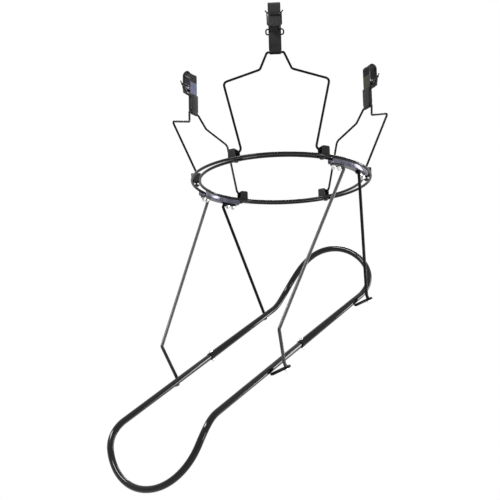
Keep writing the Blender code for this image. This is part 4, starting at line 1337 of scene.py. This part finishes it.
    def lever(self) -> Mesh:
        """Build the pressed lever: bowed plate, two flanges, a barrel and a wider thumb tab.

        Returns:
            The closed mesh.
        """
        out = self.pivot_out
        pivot_z = -self.pivot_drop
        top = pivot_z + self.crown
        foot = pivot_z - self.lever_height
        waist = (pivot_z + foot) / 2
        ridge = out + self.ridge_out
        toe = out + self.toe_out
        thick = self.plate
        knots = [Vector((out + thick, top, 0)), Vector((ridge, top - thick, 0)),
                 Vector((ridge, pivot_z, 0)), Vector(((ridge + toe) / 2 + thick / 3, waist, 0)),
                 Vector((toe, foot, 0))]
        bends = [thick * share for share in self.plate_bends]
        line = [(point.x, point.y) for point in bent(knots, bends)]
        plate = self.profile(strip(line, thick), self.tab_width)
        foot_out, foot_z = self.bail_foot
        edge = self.ear_edge
        flange = [(out + thick, top - thick / 3), (ridge, top - thick), (ridge, pivot_z),
                  ((ridge + toe) / 2, waist), (toe, foot + thick / 3),
                  (foot_out + edge / 2, foot + thick / 3), (foot_out - edge, foot_z - edge / 2),
                  (foot_out - edge, foot_z + edge / 2), (out - self.barrel_r, pivot_z),
                  (out - self.barrel_r, top - thick / 3)]
        skirt = self.lever_width / 2 - SEAT_GAP
        flanges = [prism(flange, side * (skirt - thick), side * skirt, self.at) for side in (-1, 1)]
        barrel = self.cross_pin(out, pivot_z, self.barrel_width / 2, self.barrel_r)
        blank = self.face(self.lever_front(top, foot), -out, out * 3)
        pressed = softened(combine(plate, kept=(blank,)), PRESSED_EDGE)
        tab = self.tab_width / 2
        bore = self.cross_pin(out, pivot_z, tab, self.toggle_r + SEAT_GAP)
        feet = self.cross_pin(foot_out, foot_z, tab, self.bail_r + SEAT_GAP)
        finger_z = pivot_z - self.finger_hole_drop
        finger = pin(self.at(0, finger_z), self.at(out * 3, finger_z), self.finger_hole_r)
        return combine(pressed, joined=(*flanges, barrel), cut=(bore, finger, feet))

    def bail(self) -> Mesh:
        """Build the bail: crossbar in the lip's trough, turned-up ends and two arms to the flanges.

        Returns:
            The closed mesh.
        """
        across = self.strap_width / 2 + self.side_gap + self.bail_r
        ear = across + self.ear_out
        hook_out = self.strap_r + self.lip_r
        trough = self.lip_r - self.strap_thickness / 2 - self.bail_r - SEAT_GAP
        hook_z = -self.strap_leg_drop - trough
        ear_z = hook_z + self.ear_rise
        foot_out, foot_z = self.bail_foot
        foot_end = self.arm_spacing / 2 + self.toggle_r + SEAT_GAP * 2
        lines = [bent([self.at(hook_out, ear_z, ear), self.at(hook_out, hook_z, across),
                       self.at(hook_out, hook_z, -across), self.at(hook_out, ear_z, -ear)],
                      [self.ear_bend_r] * 2)]
        for side in (-1, 1):
            lines.append(bent([self.at(hook_out, hook_z, side * across),
                               self.at(foot_out, foot_z, side * across),
                               self.at(foot_out, foot_z, side * foot_end)], [self.foot_bend_r]))
        crossbar, *arms = [self.tools.sweep.wire(line, self.bail_r, Finish.WIRE_BLACK)
                           for line in lines]
        return combine(crossbar, joined=arms)


# Ring

@dataclass(frozen=True)
class Ring:
    """The ring's drop, its two rods and the saddles that join them."""

    tools: Tools
    drop: float = 0.286
    rod_r: float = 0.003
    outer_r: float = 0.1891
    inner_r: float = 0.1728
    rod_steps: int = 150
    wall: float = 0.0015
    half_span_deg: float = 19
    depth: float = 0.0097
    saddle_corner_r: float = 0.0032
    saddle_steps: int = 48
    rim_deg: float = 60
    tab_length: float = 0.033
    tab_offset: float = 0.001
    bolt_shares: tuple[float, float] = (0.37, 0.8)
    top_degs: tuple[float, float] = (8.6, -6.5)
    bolt: Bolt = Bolt(0.003, 0.0049, 0.0022, 0.0049, 0.0045, 0.003)
    tab_thickness: float = 0.003

    @property
    def middle_r(self) -> float:
        """The radius midway between the rods."""
        return (self.outer_r + self.inner_r) / 2

    @property
    def saddle_top(self) -> float:
        """The height of the saddle's open edge, just under the rods."""
        return -self.drop - self.rod_r - SEAT_GAP

    @property
    def saddle_bottom(self) -> float:
        """The height of the saddle's underside."""
        return self.saddle_top - self.depth

    def half_rod(self, radius: float, start_deg: float) -> Mesh:
        """Half of one rod, ending just short of the saddles' middles.

        Args:
            radius: The radius of the rod's circle.
            start_deg: The angle where the half starts.
        Returns:
            The closed mesh.
        """
        short = math.degrees(SEAT_GAP / radius)
        sweep = 180 - 2 * short
        steps = self.rod_steps
        points = [circle_point(radius, start_deg + short + sweep * step / steps, -self.drop)
                  for step in range(steps + 1)]
        return self.tools.sweep.wire(points, self.rod_r, Finish.GLOSS_BLACK)

    def tab_frame(self, top_deg: float) -> tuple[Vector, Vector]:
        """The inner end and the direction of a hanger's top tab on the +X side.

        Args:
            top_deg: The angle of the hanger's top end along the ring.
        Returns:
            The tab's inner end at zero height, and its direction.
        """
        radius = self.middle_r + self.tab_offset
        span = math.copysign(math.degrees(self.tab_length / radius), top_deg)
        start = circle_point(radius, 90 - top_deg, 0)
        return start, (circle_point(radius, 90 - top_deg - span, 0) - start).normalized()

    def bolt_spots(self, top_deg: float) -> list[Vector]:
        """The two bolt places on a hanger's top tab, at zero height."""
        start, along = self.tab_frame(top_deg)
        return [start + along * (self.tab_length * share) for share in self.bolt_shares]

    def saddle(self) -> Mesh:
        """Build the curved channel at the +X side, with its bolt holes.

        Returns:
            The closed mesh.
        """
        inner = (self.outer_r - self.inner_r - self.wall) / 2
        outer = inner + self.wall
        radius = self.saddle_corner_r
        skin = rounded_box((-outer, self.saddle_bottom), (outer, self.saddle_top),
                           (radius, radius, 0, 0))
        core = rounded_box((-inner, self.saddle_bottom + self.wall), (inner, self.saddle_top),
                           (radius - self.wall, radius - self.wall, 0, 0))
        profile = [skin.pop()] + skin + core[:-1][::-1] + [core[-1]]
        rims = []
        for step in range(self.saddle_steps + 1):
            degrees = 90 + self.half_span_deg * (2 * step / self.saddle_steps - 1)
            rims.append([circle_point(self.middle_r + out, degrees, height)
                         for out, height in profile])
        channel = softened(loft(rims), PRESSED_EDGE, limit_deg=self.rim_deg)
        holes = []
        for spot in self.bolt_spots(self.top_degs[0]) + self.bolt_spots(self.top_degs[1]):
            low = spot + UP * (self.saddle_bottom - OVERRUN)
            holes.append(pin(low, low + UP * (self.wall + OVERRUN * 2),
                             self.bolt.shank_r + SEAT_GAP))
        return combine(channel, cut=holes)

    def saddle_bolt(self, spot: Vector) -> Mesh:
        """Build a bolt down through the saddle's floor and a hanger's tab.

        Args:
            spot: The bolt's place at zero height.
        Returns:
            The closed mesh.
        """
        seat = spot + UP * (self.saddle_bottom + self.wall + SEAT_GAP)
        grip = self.wall + self.tab_thickness + SEAT_GAP * 3
        return stood(self.bolt.mesh(self.tools, grip, Finish.BOLT_ZINC), seat, -UP)

    def build(self) -> None:
        """Build and fit the rods, saddles and saddle bolts."""
        for name, radius in (("outer", self.outer_r), ("inner", self.inner_r)):
            for half, start_deg in (("front", -90), ("rear", 90)):
                fit(f"{name}_rod_{half}", self.half_rod(radius, start_deg), Finish.GLOSS_BLACK,
                    CHUTE_BODY)
        fit_pair("saddle_{}", self.saddle(), Finish.SADDLE_ZINC)
        for end, top_deg in zip(("front", "rear"), self.top_degs):
            for number, spot in enumerate(self.bolt_spots(top_deg), 1):
                fit_pair(f"saddle_bolt_{{}}_{end}_{number}", self.saddle_bolt(spot),
                         Finish.BOLT_ZINC)


@dataclass(frozen=True)
class Guide:
    """A guide block on the ring's two rods, with its keeper."""

    tools: Tools
    ring: Ring
    bracket: Bracket
    station_deg: float = 29.7
    length: float = 0.017
    width: float = 0.0205
    height: float = 0.0185
    base_rise: float = 0.0015
    corner_r: float = 0.003
    edge: float = 0.0011
    groove_steps: int = 12
    run_gap: float = 0.00035
    mouth_depth: float = 0.0072
    mouth_width: float = 0.0155
    mouth_floor_rise: float = 0.0037
    mouth_height: float = 0.0138
    keeper_offset: float = 0.0048
    keeper: Bolt = Bolt(0.002, 0.0034, 0.0024, 0.0048, 0.0022, 0.0004, Head.DOME,
                        washer_r=0.0066, washer_height=0.0012, pitch=0.0007)

    def at(self, along: float, height: float, out: float = 0) -> Vector:
        """A point by its place along the ring, its height and its distance out.

        Args:
            along: The distance along the ring.
            height: The height.
            out: The distance out from the ring's middle.
        Returns:
            The point.
        """
        angle = math.radians(self.station_deg)
        centre = circle_point(self.ring.middle_r, self.station_deg, height)
        tangent = Vector((math.cos(angle), math.sin(angle), 0))
        return centre + tangent * along + circle_point(out, self.station_deg, 0)

    def block(self) -> Mesh:
        """Build the moulded block over both rods, with a mouth for the bracket's end.

        Returns:
            The closed mesh.
        """
        half = self.length / 2
        base = self.base_rise - self.ring.drop
        floor = self.mouth_floor_rise - self.ring.drop
        radius = self.corner_r
        outline = rounded_box((-half, base), (half, base + self.height), (0, 0, radius, radius))
        shell = softened(prism(outline, -self.width / 2, self.width / 2, self.at), self.edge, 4)
        mouth = rounded_box((-half - OVERRUN * 2, floor),
                            (self.mouth_depth - half, floor + self.mouth_height), (0, 0, radius, 0))
        cuts = [prism(mouth, -self.mouth_width / 2, self.mouth_width / 2, self.at)]
        reach = math.degrees((half + OVERRUN) / self.ring.middle_r)
        steps = self.groove_steps
        for rod in (self.ring.inner_r, self.ring.outer_r):
            groove = [circle_point(rod, self.station_deg + reach * step / steps, -self.ring.drop)
                      for step in range(-steps, steps + 1)]
            cuts.append(self.tools.sweep.wire(groove, self.ring.rod_r + self.run_gap,
                                              Finish.MOULDED_BODY, SCREW_SIDES))
        wire = self.bracket
        start = Vector((wire.foot_width / 2, -wire.axis_circle_r, wire.axis_z))
        end = Vector((wire.end_width / 2 + SEAT_GAP, -wire.axis_circle_r, wire.axis_z))
        cuts.append(pin(start, end, wire.wire_r + self.run_gap))
        cuts.append(pin(self.at(-self.keeper_offset, base - OVERRUN),
                        self.at(-self.keeper_offset, floor + OVERRUN),
                        self.keeper.shank_r + SEAT_GAP))
        return combine(shell, cut=cuts)

    def keeper_mesh(self) -> Mesh:
        """Build the keeper bolt between the rods, with its washer and nut below them.

        Returns:
            The closed mesh.
        """
        seat = self.mouth_floor_rise - self.ring.drop + SEAT_GAP
        washer_low = -self.ring.drop - self.ring.rod_r - self.run_gap - self.keeper.washer_height
        bolt = self.keeper.mesh(self.tools, seat - washer_low, Finish.DARK_BOLT)
        return stood(bolt, self.at(-self.keeper_offset, seat), -UP)


@dataclass(frozen=True)
class Stations:
    """The three clip stations round the support tube."""

    tools: Tools
    ring: Ring
    first_deg: float = 36.6
    # the second station's olive lining is a painted reflection on the same zinc
    linings: tuple[Finish, ...] = (Finish.STRAP_BLUE, Finish.STRAP_PAINTED_REFLECTION, Finish.STRAP_BLUE)
    # faces whose normals turn further from inward than this keep the black coat: painted shade on
    # the strap's bend
    facing: float = 0.985

    def build(self) -> None:
        """Build one station's pieces and fit them at each place."""
        bracket = Bracket(self.tools)
        clip = Clip(self.tools, bracket)
        guide = Guide(self.tools, self.ring, bracket)
        block = guide.block()
        keeper = guide.keeper_mesh()
        pieces = (
            ("block_{}_right", block, Finish.MOULDED_BODY, BLOCKS_BODY),
            ("block_{}_left", mirrored(block), Finish.MOULDED_BODY, BLOCKS_BODY),
            ("keeper_{}_right", keeper, Finish.DARK_BOLT, BLOCKS_BODY),
            ("keeper_{}_left", mirrored(keeper), Finish.DARK_BOLT, BLOCKS_BODY),
            ("wire_bracket_{}", bracket.mesh(), Finish.WIRE_BLACK, "bracket_{}"),
            ("clip_body_{}", clip.body(), Finish.MOULDED_BODY, "clip_{}"),
            ("hook_strap_{}", clip.strap(), Finish.PRESSED_BLACK, "clip_{}"),
            ("toggle_wire_{}", clip.toggle(), Finish.WIRE_BLACK, "clip_{}"),
            ("clamp_lever_{}", clip.lever(), Finish.LEVER_BLACK, "lever_{}"),
            ("tee_bail_{}", clip.bail(), Finish.WIRE_BLACK, "bail_{}"),
        )
        for index, lining in enumerate(self.linings):
            number = index + 1
            degrees = self.first_deg + 360 * index / len(self.linings)
            turn = Matrix.Rotation(math.radians(degrees), 4, "Z")
            for name, mesh, finish, body in pieces:
                piece = fit(name.format(number), moved(mesh, turn), finish, body.format(number))
                if name.startswith("hook_strap"):
                    self.line(piece, lining, -circle_point(1, degrees, 0))

    def line(self, piece: bpy.types.Object, lining: Finish, inward: Vector) -> None:
        """Give the strap's flat inner face, towards the ring's middle, its bare plating; faces
        turned more than about ten degrees away keep the black coat, which paints shade on the bend.

        Args:
            piece: The strap.
            lining: The plating.
            inward: The direction towards the middle.
        """
        piece.data.materials.append(lining.material())
        for face in piece.data.polygons:
            if face.normal.dot(inward) > self.facing:
                face.material_index = 1


# Chute

@dataclass(frozen=True)
class Track:
    """The closed loop of tube, folded up at the rear and down at the front."""

    tools: Tools
    width: float = 0.232
    slope_deg: float = 30.3
    middle_reach: float = 0.1017
    middle_drop: float = 0.6597
    fold_spacing: float = 0.6441
    rear_fold_r: float = 0.1192
    rear_fold_deg: float = 79.7
    rear_length: float = 0.0667
    front_fold_r: float = 0.0868
    front_fold_deg: float = 48.6
    front_length: float = 0.1092
    corner_share: float = 0.99
    tube_r: float = 0.00635
    tube_wall: float = 0.0010
    socket_r: float = 0.0075
    socket_length: float = 0.040
    overlap_gap: float = 0.004
    swage_length: float = 0.203
    neck_share: float = 0.72
    joint_reach: float = 0.105
    bolt_inset: float = 0.009
    run_gap: float = 0.00035
    rim_edge: float = 0.00025
    rim_deg: float = 60
    tube_sides: int = 40
    corner_steps: int = 40
    step_length: float = 0.004
    bolt: Bolt = Bolt(0.0022, 0.0042, 0.0024, 0.0042, 0.0032, 0.0022, Head.DOME, pitch=0.0008)

    @property
    def slope(self) -> float:
        """The rails' slope in radians, down towards the exit."""
        return -math.radians(self.slope_deg)

    @property
    def down(self) -> Vector:
        """The direction down the rails."""
        return Vector((0, -math.cos(self.slope), math.sin(self.slope)))

    @property
    def normal(self) -> Vector:
        """The direction square to the rails, upwards."""
        return Vector((0, math.sin(self.slope), math.cos(self.slope)))

    def folded(self, length: float) -> Vector:
        """The track's middle line.

        Args:
            length: The length along the flat loop.
        Returns:
            The reach towards the exit and the height.
        """
        slope = self.slope
        sin, cos = math.sin(slope), math.cos(slope)
        rear = self.rear_fold_r * math.radians(self.rear_fold_deg) / 2
        front = self.fold_spacing - self.front_fold_r * math.radians(self.front_fold_deg) / 2

        def straight(place: float) -> Vector:
            """A place on the straight rails."""
            step = place - self.fold_spacing / 2
            return Vector((self.middle_reach + step * cos, step * sin - self.middle_drop))

        def bow(radius: float, distance: float) -> Vector:
            """The move along an arc that starts on the rails' slope."""
            bend = slope - distance / radius
            return Vector((sin - math.sin(bend), math.cos(bend) - cos)) * radius

        if length < rear:
            return straight(rear) - bow(self.rear_fold_r, rear - length)
        if length <= front:
            return straight(length)
        bent_length = self.front_fold_r * math.radians(self.front_fold_deg)
        on_arc = min(length - front, bent_length)
        end_slope = slope - on_arc / self.front_fold_r
        ahead = Vector((math.cos(end_slope), math.sin(end_slope)))
        return straight(front) + bow(self.front_fold_r, on_arc) + ahead * (length - front - on_arc)

    def point(self, across: float, length: float) -> Vector:
        """A point of the folded loop."""
        reach, height = self.folded(length)
        return Vector((across, -reach, height))

    def length_at(self, reach: float) -> float:
        """The length along the flat loop where the straight rails have a given reach."""
        return self.fold_spacing / 2 + (reach - self.middle_reach) / math.cos(self.slope)

    def loop_half(self, start: float, end: float) -> tuple[list[Vector], list[float]]:
        """Points from the +X rail round one end of the loop and back along the -X rail.

        Args:
            start: The flat length where the half starts and ends.
            end: The flat length of the loop's far end.
        Returns:
            The points, and each point's distance along its rail from the start.
        """
        half = self.width / 2
        corner = half * self.corner_share
        side = math.copysign(1, end - start)
        span = abs(end - start) - corner
        steps = round(span / self.step_length)
        right = [(half, start + side * span * step / steps, span * step / steps)
                 for step in range(steps + 1)]
        for step in range(1, self.corner_steps + 1):
            angle = math.pi / 2 * step / self.corner_steps
            right.append((half - corner + corner * math.cos(angle),
                          end - side * corner * (1 - math.sin(angle)), span + corner * angle))
        rows = right + [(-across, length, run) for across, length, run in reversed(right)]
        points = [self.point(across, length) for across, length, _ in rows]
        return points, [run for _, _, run in rows]

    def tube(self, points: Sequence[Vector], radii: Sequence[tuple[float, float]]) -> Mesh:
        """Skin an open tube.

        Args:
            points: Its middle line.
            radii: Its outer and inner radius at each point.
        Returns:
            The closed wall, with rounded rims.
        """
        frames = []
        normal: Optional[Vector] = None
        last = len(points) - 1
        for index, point in enumerate(points):
            along = (points[min(index + 1, last)] - points[max(index - 1, 0)]).normalized()
            normal = normal or along.orthogonal()
            normal = (normal - along * normal.dot(along)).normalized()
            frames.append((point, normal, along.cross(normal)))
        turns = [2 * math.pi * side / self.tube_sides for side in range(self.tube_sides)]

        def rim(centre: Vector, side: Vector, aside: Vector, radius: float) -> list[Vector]:
            """A round rim."""
            return [centre + side * (radius * math.cos(turn)) + aside * (radius * math.sin(turn))
                    for turn in turns]

        outer = [rim(*frame, size[0]) for frame, size in zip(frames, radii)]
        inner = [rim(*frame, size[1]) for frame, size in zip(frames, radii)]
        rims = outer + inner[::-1] + [outer[0]]
        return softened(loft(rims, capped=False), self.rim_edge, limit_deg=self.rim_deg)

    def swaged(self, run: float) -> tuple[float, float]:
        """The rear tube's outer and inner radius at a distance from its socket's mouth.

        Args:
            run: The distance along the rail.
        Returns:
            The outer and the inner radius.
        """
        bore = self.tube_r + self.run_gap
        plain = self.tube_r - self.tube_wall
        neck = self.swage_length * self.neck_share
        beyond = run - self.socket_length - self.overlap_gap
        if beyond <= 0:
            return self.socket_r, bore
        taper = min(1.0, beyond / (neck - self.socket_length))
        swell = min(1.0, max(0.0, (run - neck) / (self.swage_length - neck)))
        middle = (self.socket_r + self.tube_r) / 2
        outer = self.socket_r + (middle - self.socket_r) * taper + (self.tube_r - middle) * swell
        return outer, bore + (plain - bore) * taper

    def bolt_ends(self) -> tuple[Vector, Vector]:
        """The rail's top and underside at the +X joint bolt."""
        spot = self.point(self.width / 2, self.length_at(self.joint_reach) - self.bolt_inset)
        return spot + self.normal * self.socket_r, spot - self.normal * self.socket_r

    def build(self) -> None:
        """Build and fit both tubes and the two joint bolts."""
        joint = self.length_at(self.joint_reach)
        head, tail = self.bolt_ends()
        over = self.normal * OVERRUN * 2
        drill = pin(head + over, tail - over, self.bolt.shank_r + SEAT_GAP)
        drills = (drill, mirrored(drill))
        points, runs = self.loop_half(joint, -self.rear_length)
        rear = self.tube(points, [self.swaged(run) for run in runs])
        fit("rear_tube", combine(rear, cut=drills), Finish.GLOSS_BLACK, CHUTE_BODY)
        points, _ = self.loop_half(joint - self.socket_length,
                                   self.fold_spacing + self.front_length)
        front = self.tube(points, [(self.tube_r, self.tube_r - self.tube_wall)] * len(points))
        drills = (drill.copy(), mirrored(drill))
        fit("front_tube", combine(front, cut=drills), Finish.GLOSS_BLACK, CHUTE_BODY)
        seat = head + self.normal * SEAT_GAP
        grip = (head - tail).length + SEAT_GAP * 2
        bolt = stood(self.bolt.mesh(self.tools, grip, Finish.BOLT_ZINC), seat, -self.normal)
        fit_pair("rail_joint_bolt_{}", bolt, Finish.BOLT_ZINC)


@dataclass(frozen=True)
class Foot:
    """Where a hanger's lower end stands on its plate beside the +X rail."""

    track: Track
    reach: float
    stand_out: float = 0.0215
    plate_end: float = 0.0095
    plate_length: float = 0.043
    plate_width: float = 0.012
    plate_thickness: float = 0.003
    turn_deg: float = 33

    def point(self, along: float, rise: float, aside: float = 0) -> Vector:
        """A point by its distance along the plate and its rise above it.

        Args:
            along: The distance from the hanger's foot along the plate.
            rise: The height above the plate.
            aside: The distance across the plate.
        Returns:
            The point.
        """
        turn = math.radians(self.turn_deg)
        track = self.track
        line = ACROSS * math.sin(turn) - track.down * math.cos(turn)
        base = (track.point(track.width / 2, track.length_at(self.reach)) + ACROSS * self.stand_out
                - track.normal * (track.tube_r + SEAT_GAP))
        return base + line * along + track.normal.cross(line) * aside + track.normal * rise

    def plate(self, drill_r: float) -> Mesh:
        """Build the flat foot plate under the rail, with round ends and a hole for the bolt.

        Args:
            drill_r: The hole's radius.
        Returns:
            The closed mesh.
        """
        radius = self.plate_width / 2
        far = self.plate_end - radius
        near = self.plate_end - self.plate_length + radius
        outline = (arc((far, 0), radius, -90, 180, ROUND_STEPS)
                   + arc((near, 0), radius, 90, 180, ROUND_STEPS))
        bar = prism(outline, -self.plate_thickness, 0,
                    lambda along, aside, rise: self.point(along, rise, aside))
        hole = pin(self.point(0, OVERRUN), self.point(0, -self.plate_thickness - OVERRUN), drill_r)
        return combine(softened(bar, THICK_EDGE), cut=(hole,))


@dataclass(frozen=True)
class Hangers:
    """The four hangers with their foot plates and foot bolts."""

    tools: Tools
    ring: Ring
    track: Track
    rod_r: float = 0.00325
    bend_r: float = 0.0045
    hook: float = 0.0066
    tab_width: float = 0.012
    top_circle_r: float = 0.1855
    kink: tuple[float, float, float] = (0.1493, -0.2109, -0.6465)
    front_reach: float = 0.1817
    rear_reach: float = -0.1011
    stand_rise: float = 0.009
    screw_r: float = 0.0018
    screw_reach: float = 0.007
    bolt: Bolt = Bolt(0.003, 0.0052, 0.0045, 0.0052, 0.0045, 0.003)

    def hanger(self, foot: Foot, top_deg: float, kinks: Sequence[Vector], finish: Finish) -> Mesh:
        """Build a rod from a saddle to a foot plate, with a flat tab above and a drilled end below.

        Args:
            foot: The hanger's foot.
            top_deg: The angle of its top end along the ring.
            kinks: The corners between its elbow and its foot.
            finish: The hanger's finish.
        Returns:
            The closed mesh.
        """
        start, along = self.ring.tab_frame(top_deg)
        tab_top = self.ring.saddle_bottom - SEAT_GAP
        rod_z = tab_top - self.rod_r
        corners = [start + along * self.hook + UP * rod_z,
                   circle_point(self.top_circle_r, 90 - top_deg, rod_z), *kinks,
                   foot.point(0, self.stand_rise), foot.point(0, SEAT_GAP)]
        line = bent(corners, [self.bend_r] * (2 + len(kinks)))
        rod = self.tools.sweep.wire(line, self.rod_r, finish)
        aside = UP.cross(along)
        radius = self.tab_width / 2
        length = self.ring.tab_length
        blend = self.bend_r * 2 / 3
        outline = arc((length - radius, 0), radius, -90, 180, ROUND_STEPS)
        outline += [(blend, radius), (0, self.rod_r), (0, -self.rod_r), (blend, -radius)]
        top_tab = prism(
            outline, tab_top - self.ring.tab_thickness, tab_top,
            lambda ahead, offset, height: start + along * ahead + aside * offset + UP * height)
        drill_r = self.bolt.shank_r + SEAT_GAP
        drills = [pin(spot + UP * (tab_top + OVERRUN), spot + UP * (tab_top - self.bend_r), drill_r)
                  for spot in self.ring.bolt_spots(top_deg)]
        drills.append(pin(foot.point(0, -OVERRUN), foot.point(0, self.screw_reach + SEAT_GAP),
                          self.screw_r + SEAT_GAP))
        return combine(rod, joined=(softened(top_tab, THICK_EDGE),), cut=drills)

    def foot_bolt(self, foot: Foot) -> Mesh:
        """Build the bolt that goes up through the plate into the hanger's end.

        Args:
            foot: The hanger's foot.
        Returns:
            The closed mesh.
        """
        head = self.bolt.head_height
        grip = foot.plate_thickness + SEAT_GAP + self.screw_reach
        shank = pin(UP * (head / 2), UP * (head + grip), self.screw_r, SCREW_SIDES)
        bolt = combine(self.bolt.hexagon(self.bolt.head_r, 0, head), joined=(shank,))
        seat = foot.point(0, -foot.plate_thickness - SEAT_GAP - head)
        return stood(bolt, seat, self.track.normal)

    def build(self) -> None:
        """Build and fit the hangers, plates and bolts on both sides."""
        front_deg, rear_deg = self.ring.top_degs
        # the front hangers carry the painted grey sheen; the rear hangers show the plain black coat
        ends = (("front", self.front_reach, front_deg, (Vector(self.kink),), Finish.HANGER_PAINTED_SHEEN),
                ("rear", self.rear_reach, rear_deg, (), Finish.WIRE_BLACK))
        for end, reach, top_deg, kinks, finish in ends:
            foot = Foot(self.track, reach)
            fit_pair(f"hanger_{{}}_{end}", self.hanger(foot, top_deg, kinks, finish), finish)
            fit_pair(f"foot_plate_{{}}_{end}", foot.plate(self.screw_r + SEAT_GAP),
                     Finish.WIRE_BLACK)
            fit_pair(f"foot_bolt_{{}}_{end}", self.foot_bolt(foot), Finish.BOLT_ZINC)


# Studio

@dataclass(frozen=True)
class Viewpoint:
    """The camera, by its place and its aim."""

    distance: float = 2.4131
    azimuth_deg: float = 37.8
    height: float = -0.988
    yaw_deg: float = -1.644
    pitch_deg: float = 12.863
    roll_deg: float = -1.180
    focal_px: float = 1181.4
    frame_px: float = 500.0
    sensor_mm: float = 36.0
    near: float = 0.05
    far: float = 60

    def build(self) -> None:
        """Set up the camera and make it the scene's own."""
        data = bpy.data.cameras.new("camera")
        data.sensor_width = self.sensor_mm
        data.lens = self.focal_px / self.frame_px * self.sensor_mm
        data.clip_start = self.near
        data.clip_end = self.far
        heading = math.radians(self.yaw_deg - self.azimuth_deg)
        pitch = math.radians(self.pitch_deg)
        roll = math.radians(self.roll_deg)
        ahead = Vector((math.sin(heading) * math.cos(pitch), math.cos(heading) * math.cos(pitch),
                        math.sin(pitch)))
        level = Vector((math.cos(heading), -math.sin(heading), 0))
        upright = level.cross(ahead)
        right = level * math.cos(roll) + upright * math.sin(roll)
        top = upright * math.cos(roll) - level * math.sin(roll)
        turn = Matrix((right, top, -ahead)).transposed().to_4x4()
        camera = new_object(data, "camera")
        spot = circle_point(self.distance, self.azimuth_deg, self.height)
        camera.matrix_world = Matrix.Translation(spot) @ turn
        bpy.context.scene.camera = camera


@dataclass(frozen=True)
class Lamp:
    """A soft box, by its direction from the object's middle."""

    name: str
    azimuth_deg: float
    elevation_deg: float
    distance: float
    width: float
    height: float
    power: float

    def build(self, aim: Vector) -> None:
        """Hang the lamp and turn it towards the aim.

        Args:
            aim: The object's middle.
        """
        data = bpy.data.lights.new(self.name, "AREA")
        data.shape = "RECTANGLE"
        data.size = self.width
        data.size_y = self.height
        data.energy = self.power
        lamp = new_object(data, self.name)
        rise = math.radians(self.elevation_deg)
        away = circle_point(math.cos(rise), self.azimuth_deg, math.sin(rise))
        lamp.location = aim + away * self.distance
        lamp.rotation_mode = "QUATERNION"
        lamp.rotation_quaternion = (-away).to_track_quat("-Z", "Y")


@dataclass(frozen=True)
class Studio:
    """The pale floor, the white surround and the lamps."""

    floor_z: float = -1.35
    floor_size: float = 16.0
    floor_colours: tuple[Colour, Colour] = ((0.86, 0.86, 0.86), (0.90, 0.90, 0.90))
    floor_grain: float = 0.02
    floor_roughness: float = 0.7
    floor_haze: float = 0.1
    daylight: float = 0.55
    lamps: tuple[Lamp, ...] = (
        Lamp("key", -20, 50, 3.0, 1.6, 0.5, 80),
        Lamp("rim", 152, 9, 3.2, 0.5, 2.0, 44),
        Lamp("back", 200, 40, 3.2, 1.6, 0.6, 40),
        Lamp("low strip", 92, -20, 2.1, 0.2, 0.8, 14),
    )

    def world(self) -> None:
        """White for the camera and for reflections, softer for the light on the object."""
        world = bpy.data.worlds.new("surround")
        world.use_nodes = True
        bench = NodeBench(world.node_tree)
        bench.tree.nodes.clear()
        path = bench.add("ShaderNodeLightPath")
        seen = [Signal(bench.tree, path.outputs[name]) for name in
                ("Is Camera Ray", "Is Glossy Ray", "Is Transmission Ray")]
        shown = seen[0].math("MINIMUM", seen[0] + seen[1] + seen[2], 1.0)
        strength = shown * (1 - self.daylight) + self.daylight
        surround = bench.add("ShaderNodeBackground", None,
                             {"Color": (1, 1, 1, 1), "Strength": strength})
        bench.add("ShaderNodeOutputWorld", None, {"Surface": surround.outputs[0]})
        bpy.context.scene.world = world

    def floor(self) -> None:
        """A plain pale floor well under the chute."""
        half = self.floor_size / 2
        corners = [(across, along, self.floor_z)
                   for across, along in box_outline(0, half, -half, half)]
        mesh = bpy.data.meshes.new("floor")
        mesh.from_pydata(corners, [], [(0, 1, 2, 3)])
        bench = MaterialBench("pale floor")
        grain = bench.noise(self.floor_grain, 3)
        mesh.materials.append(bench.dress(
            Base_Color=bench.blend(grain, *self.floor_colours),
            Roughness=grain * self.floor_haze + self.floor_roughness))
        floor = new_object(mesh, "floor")
        floor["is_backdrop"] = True

    def build(self, aim: Vector) -> None:
        """Set up the studio round the object's middle.

        Args:
            aim: The object's middle.
        """
        self.world()
        self.floor()
        for lamp in self.lamps:
            lamp.build(aim)
        bpy.context.scene.view_settings.view_transform = "Standard"


def main() -> None:
    """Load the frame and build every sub-assembly on it."""
    logging.basicConfig(level=logging.INFO, format="%(name)s: %(message)s")
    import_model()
    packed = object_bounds()
    tools = Tools()
    ring = Ring(tools)
    track = Track(tools)
    Stations(tools, ring).build()
    ring.build()
    track.build()
    Hangers(tools, ring, track).build()
    Viewpoint().build()
    Studio().build((packed[0] + packed[1]) / 2)


if __name__ == "__main__":
    main()
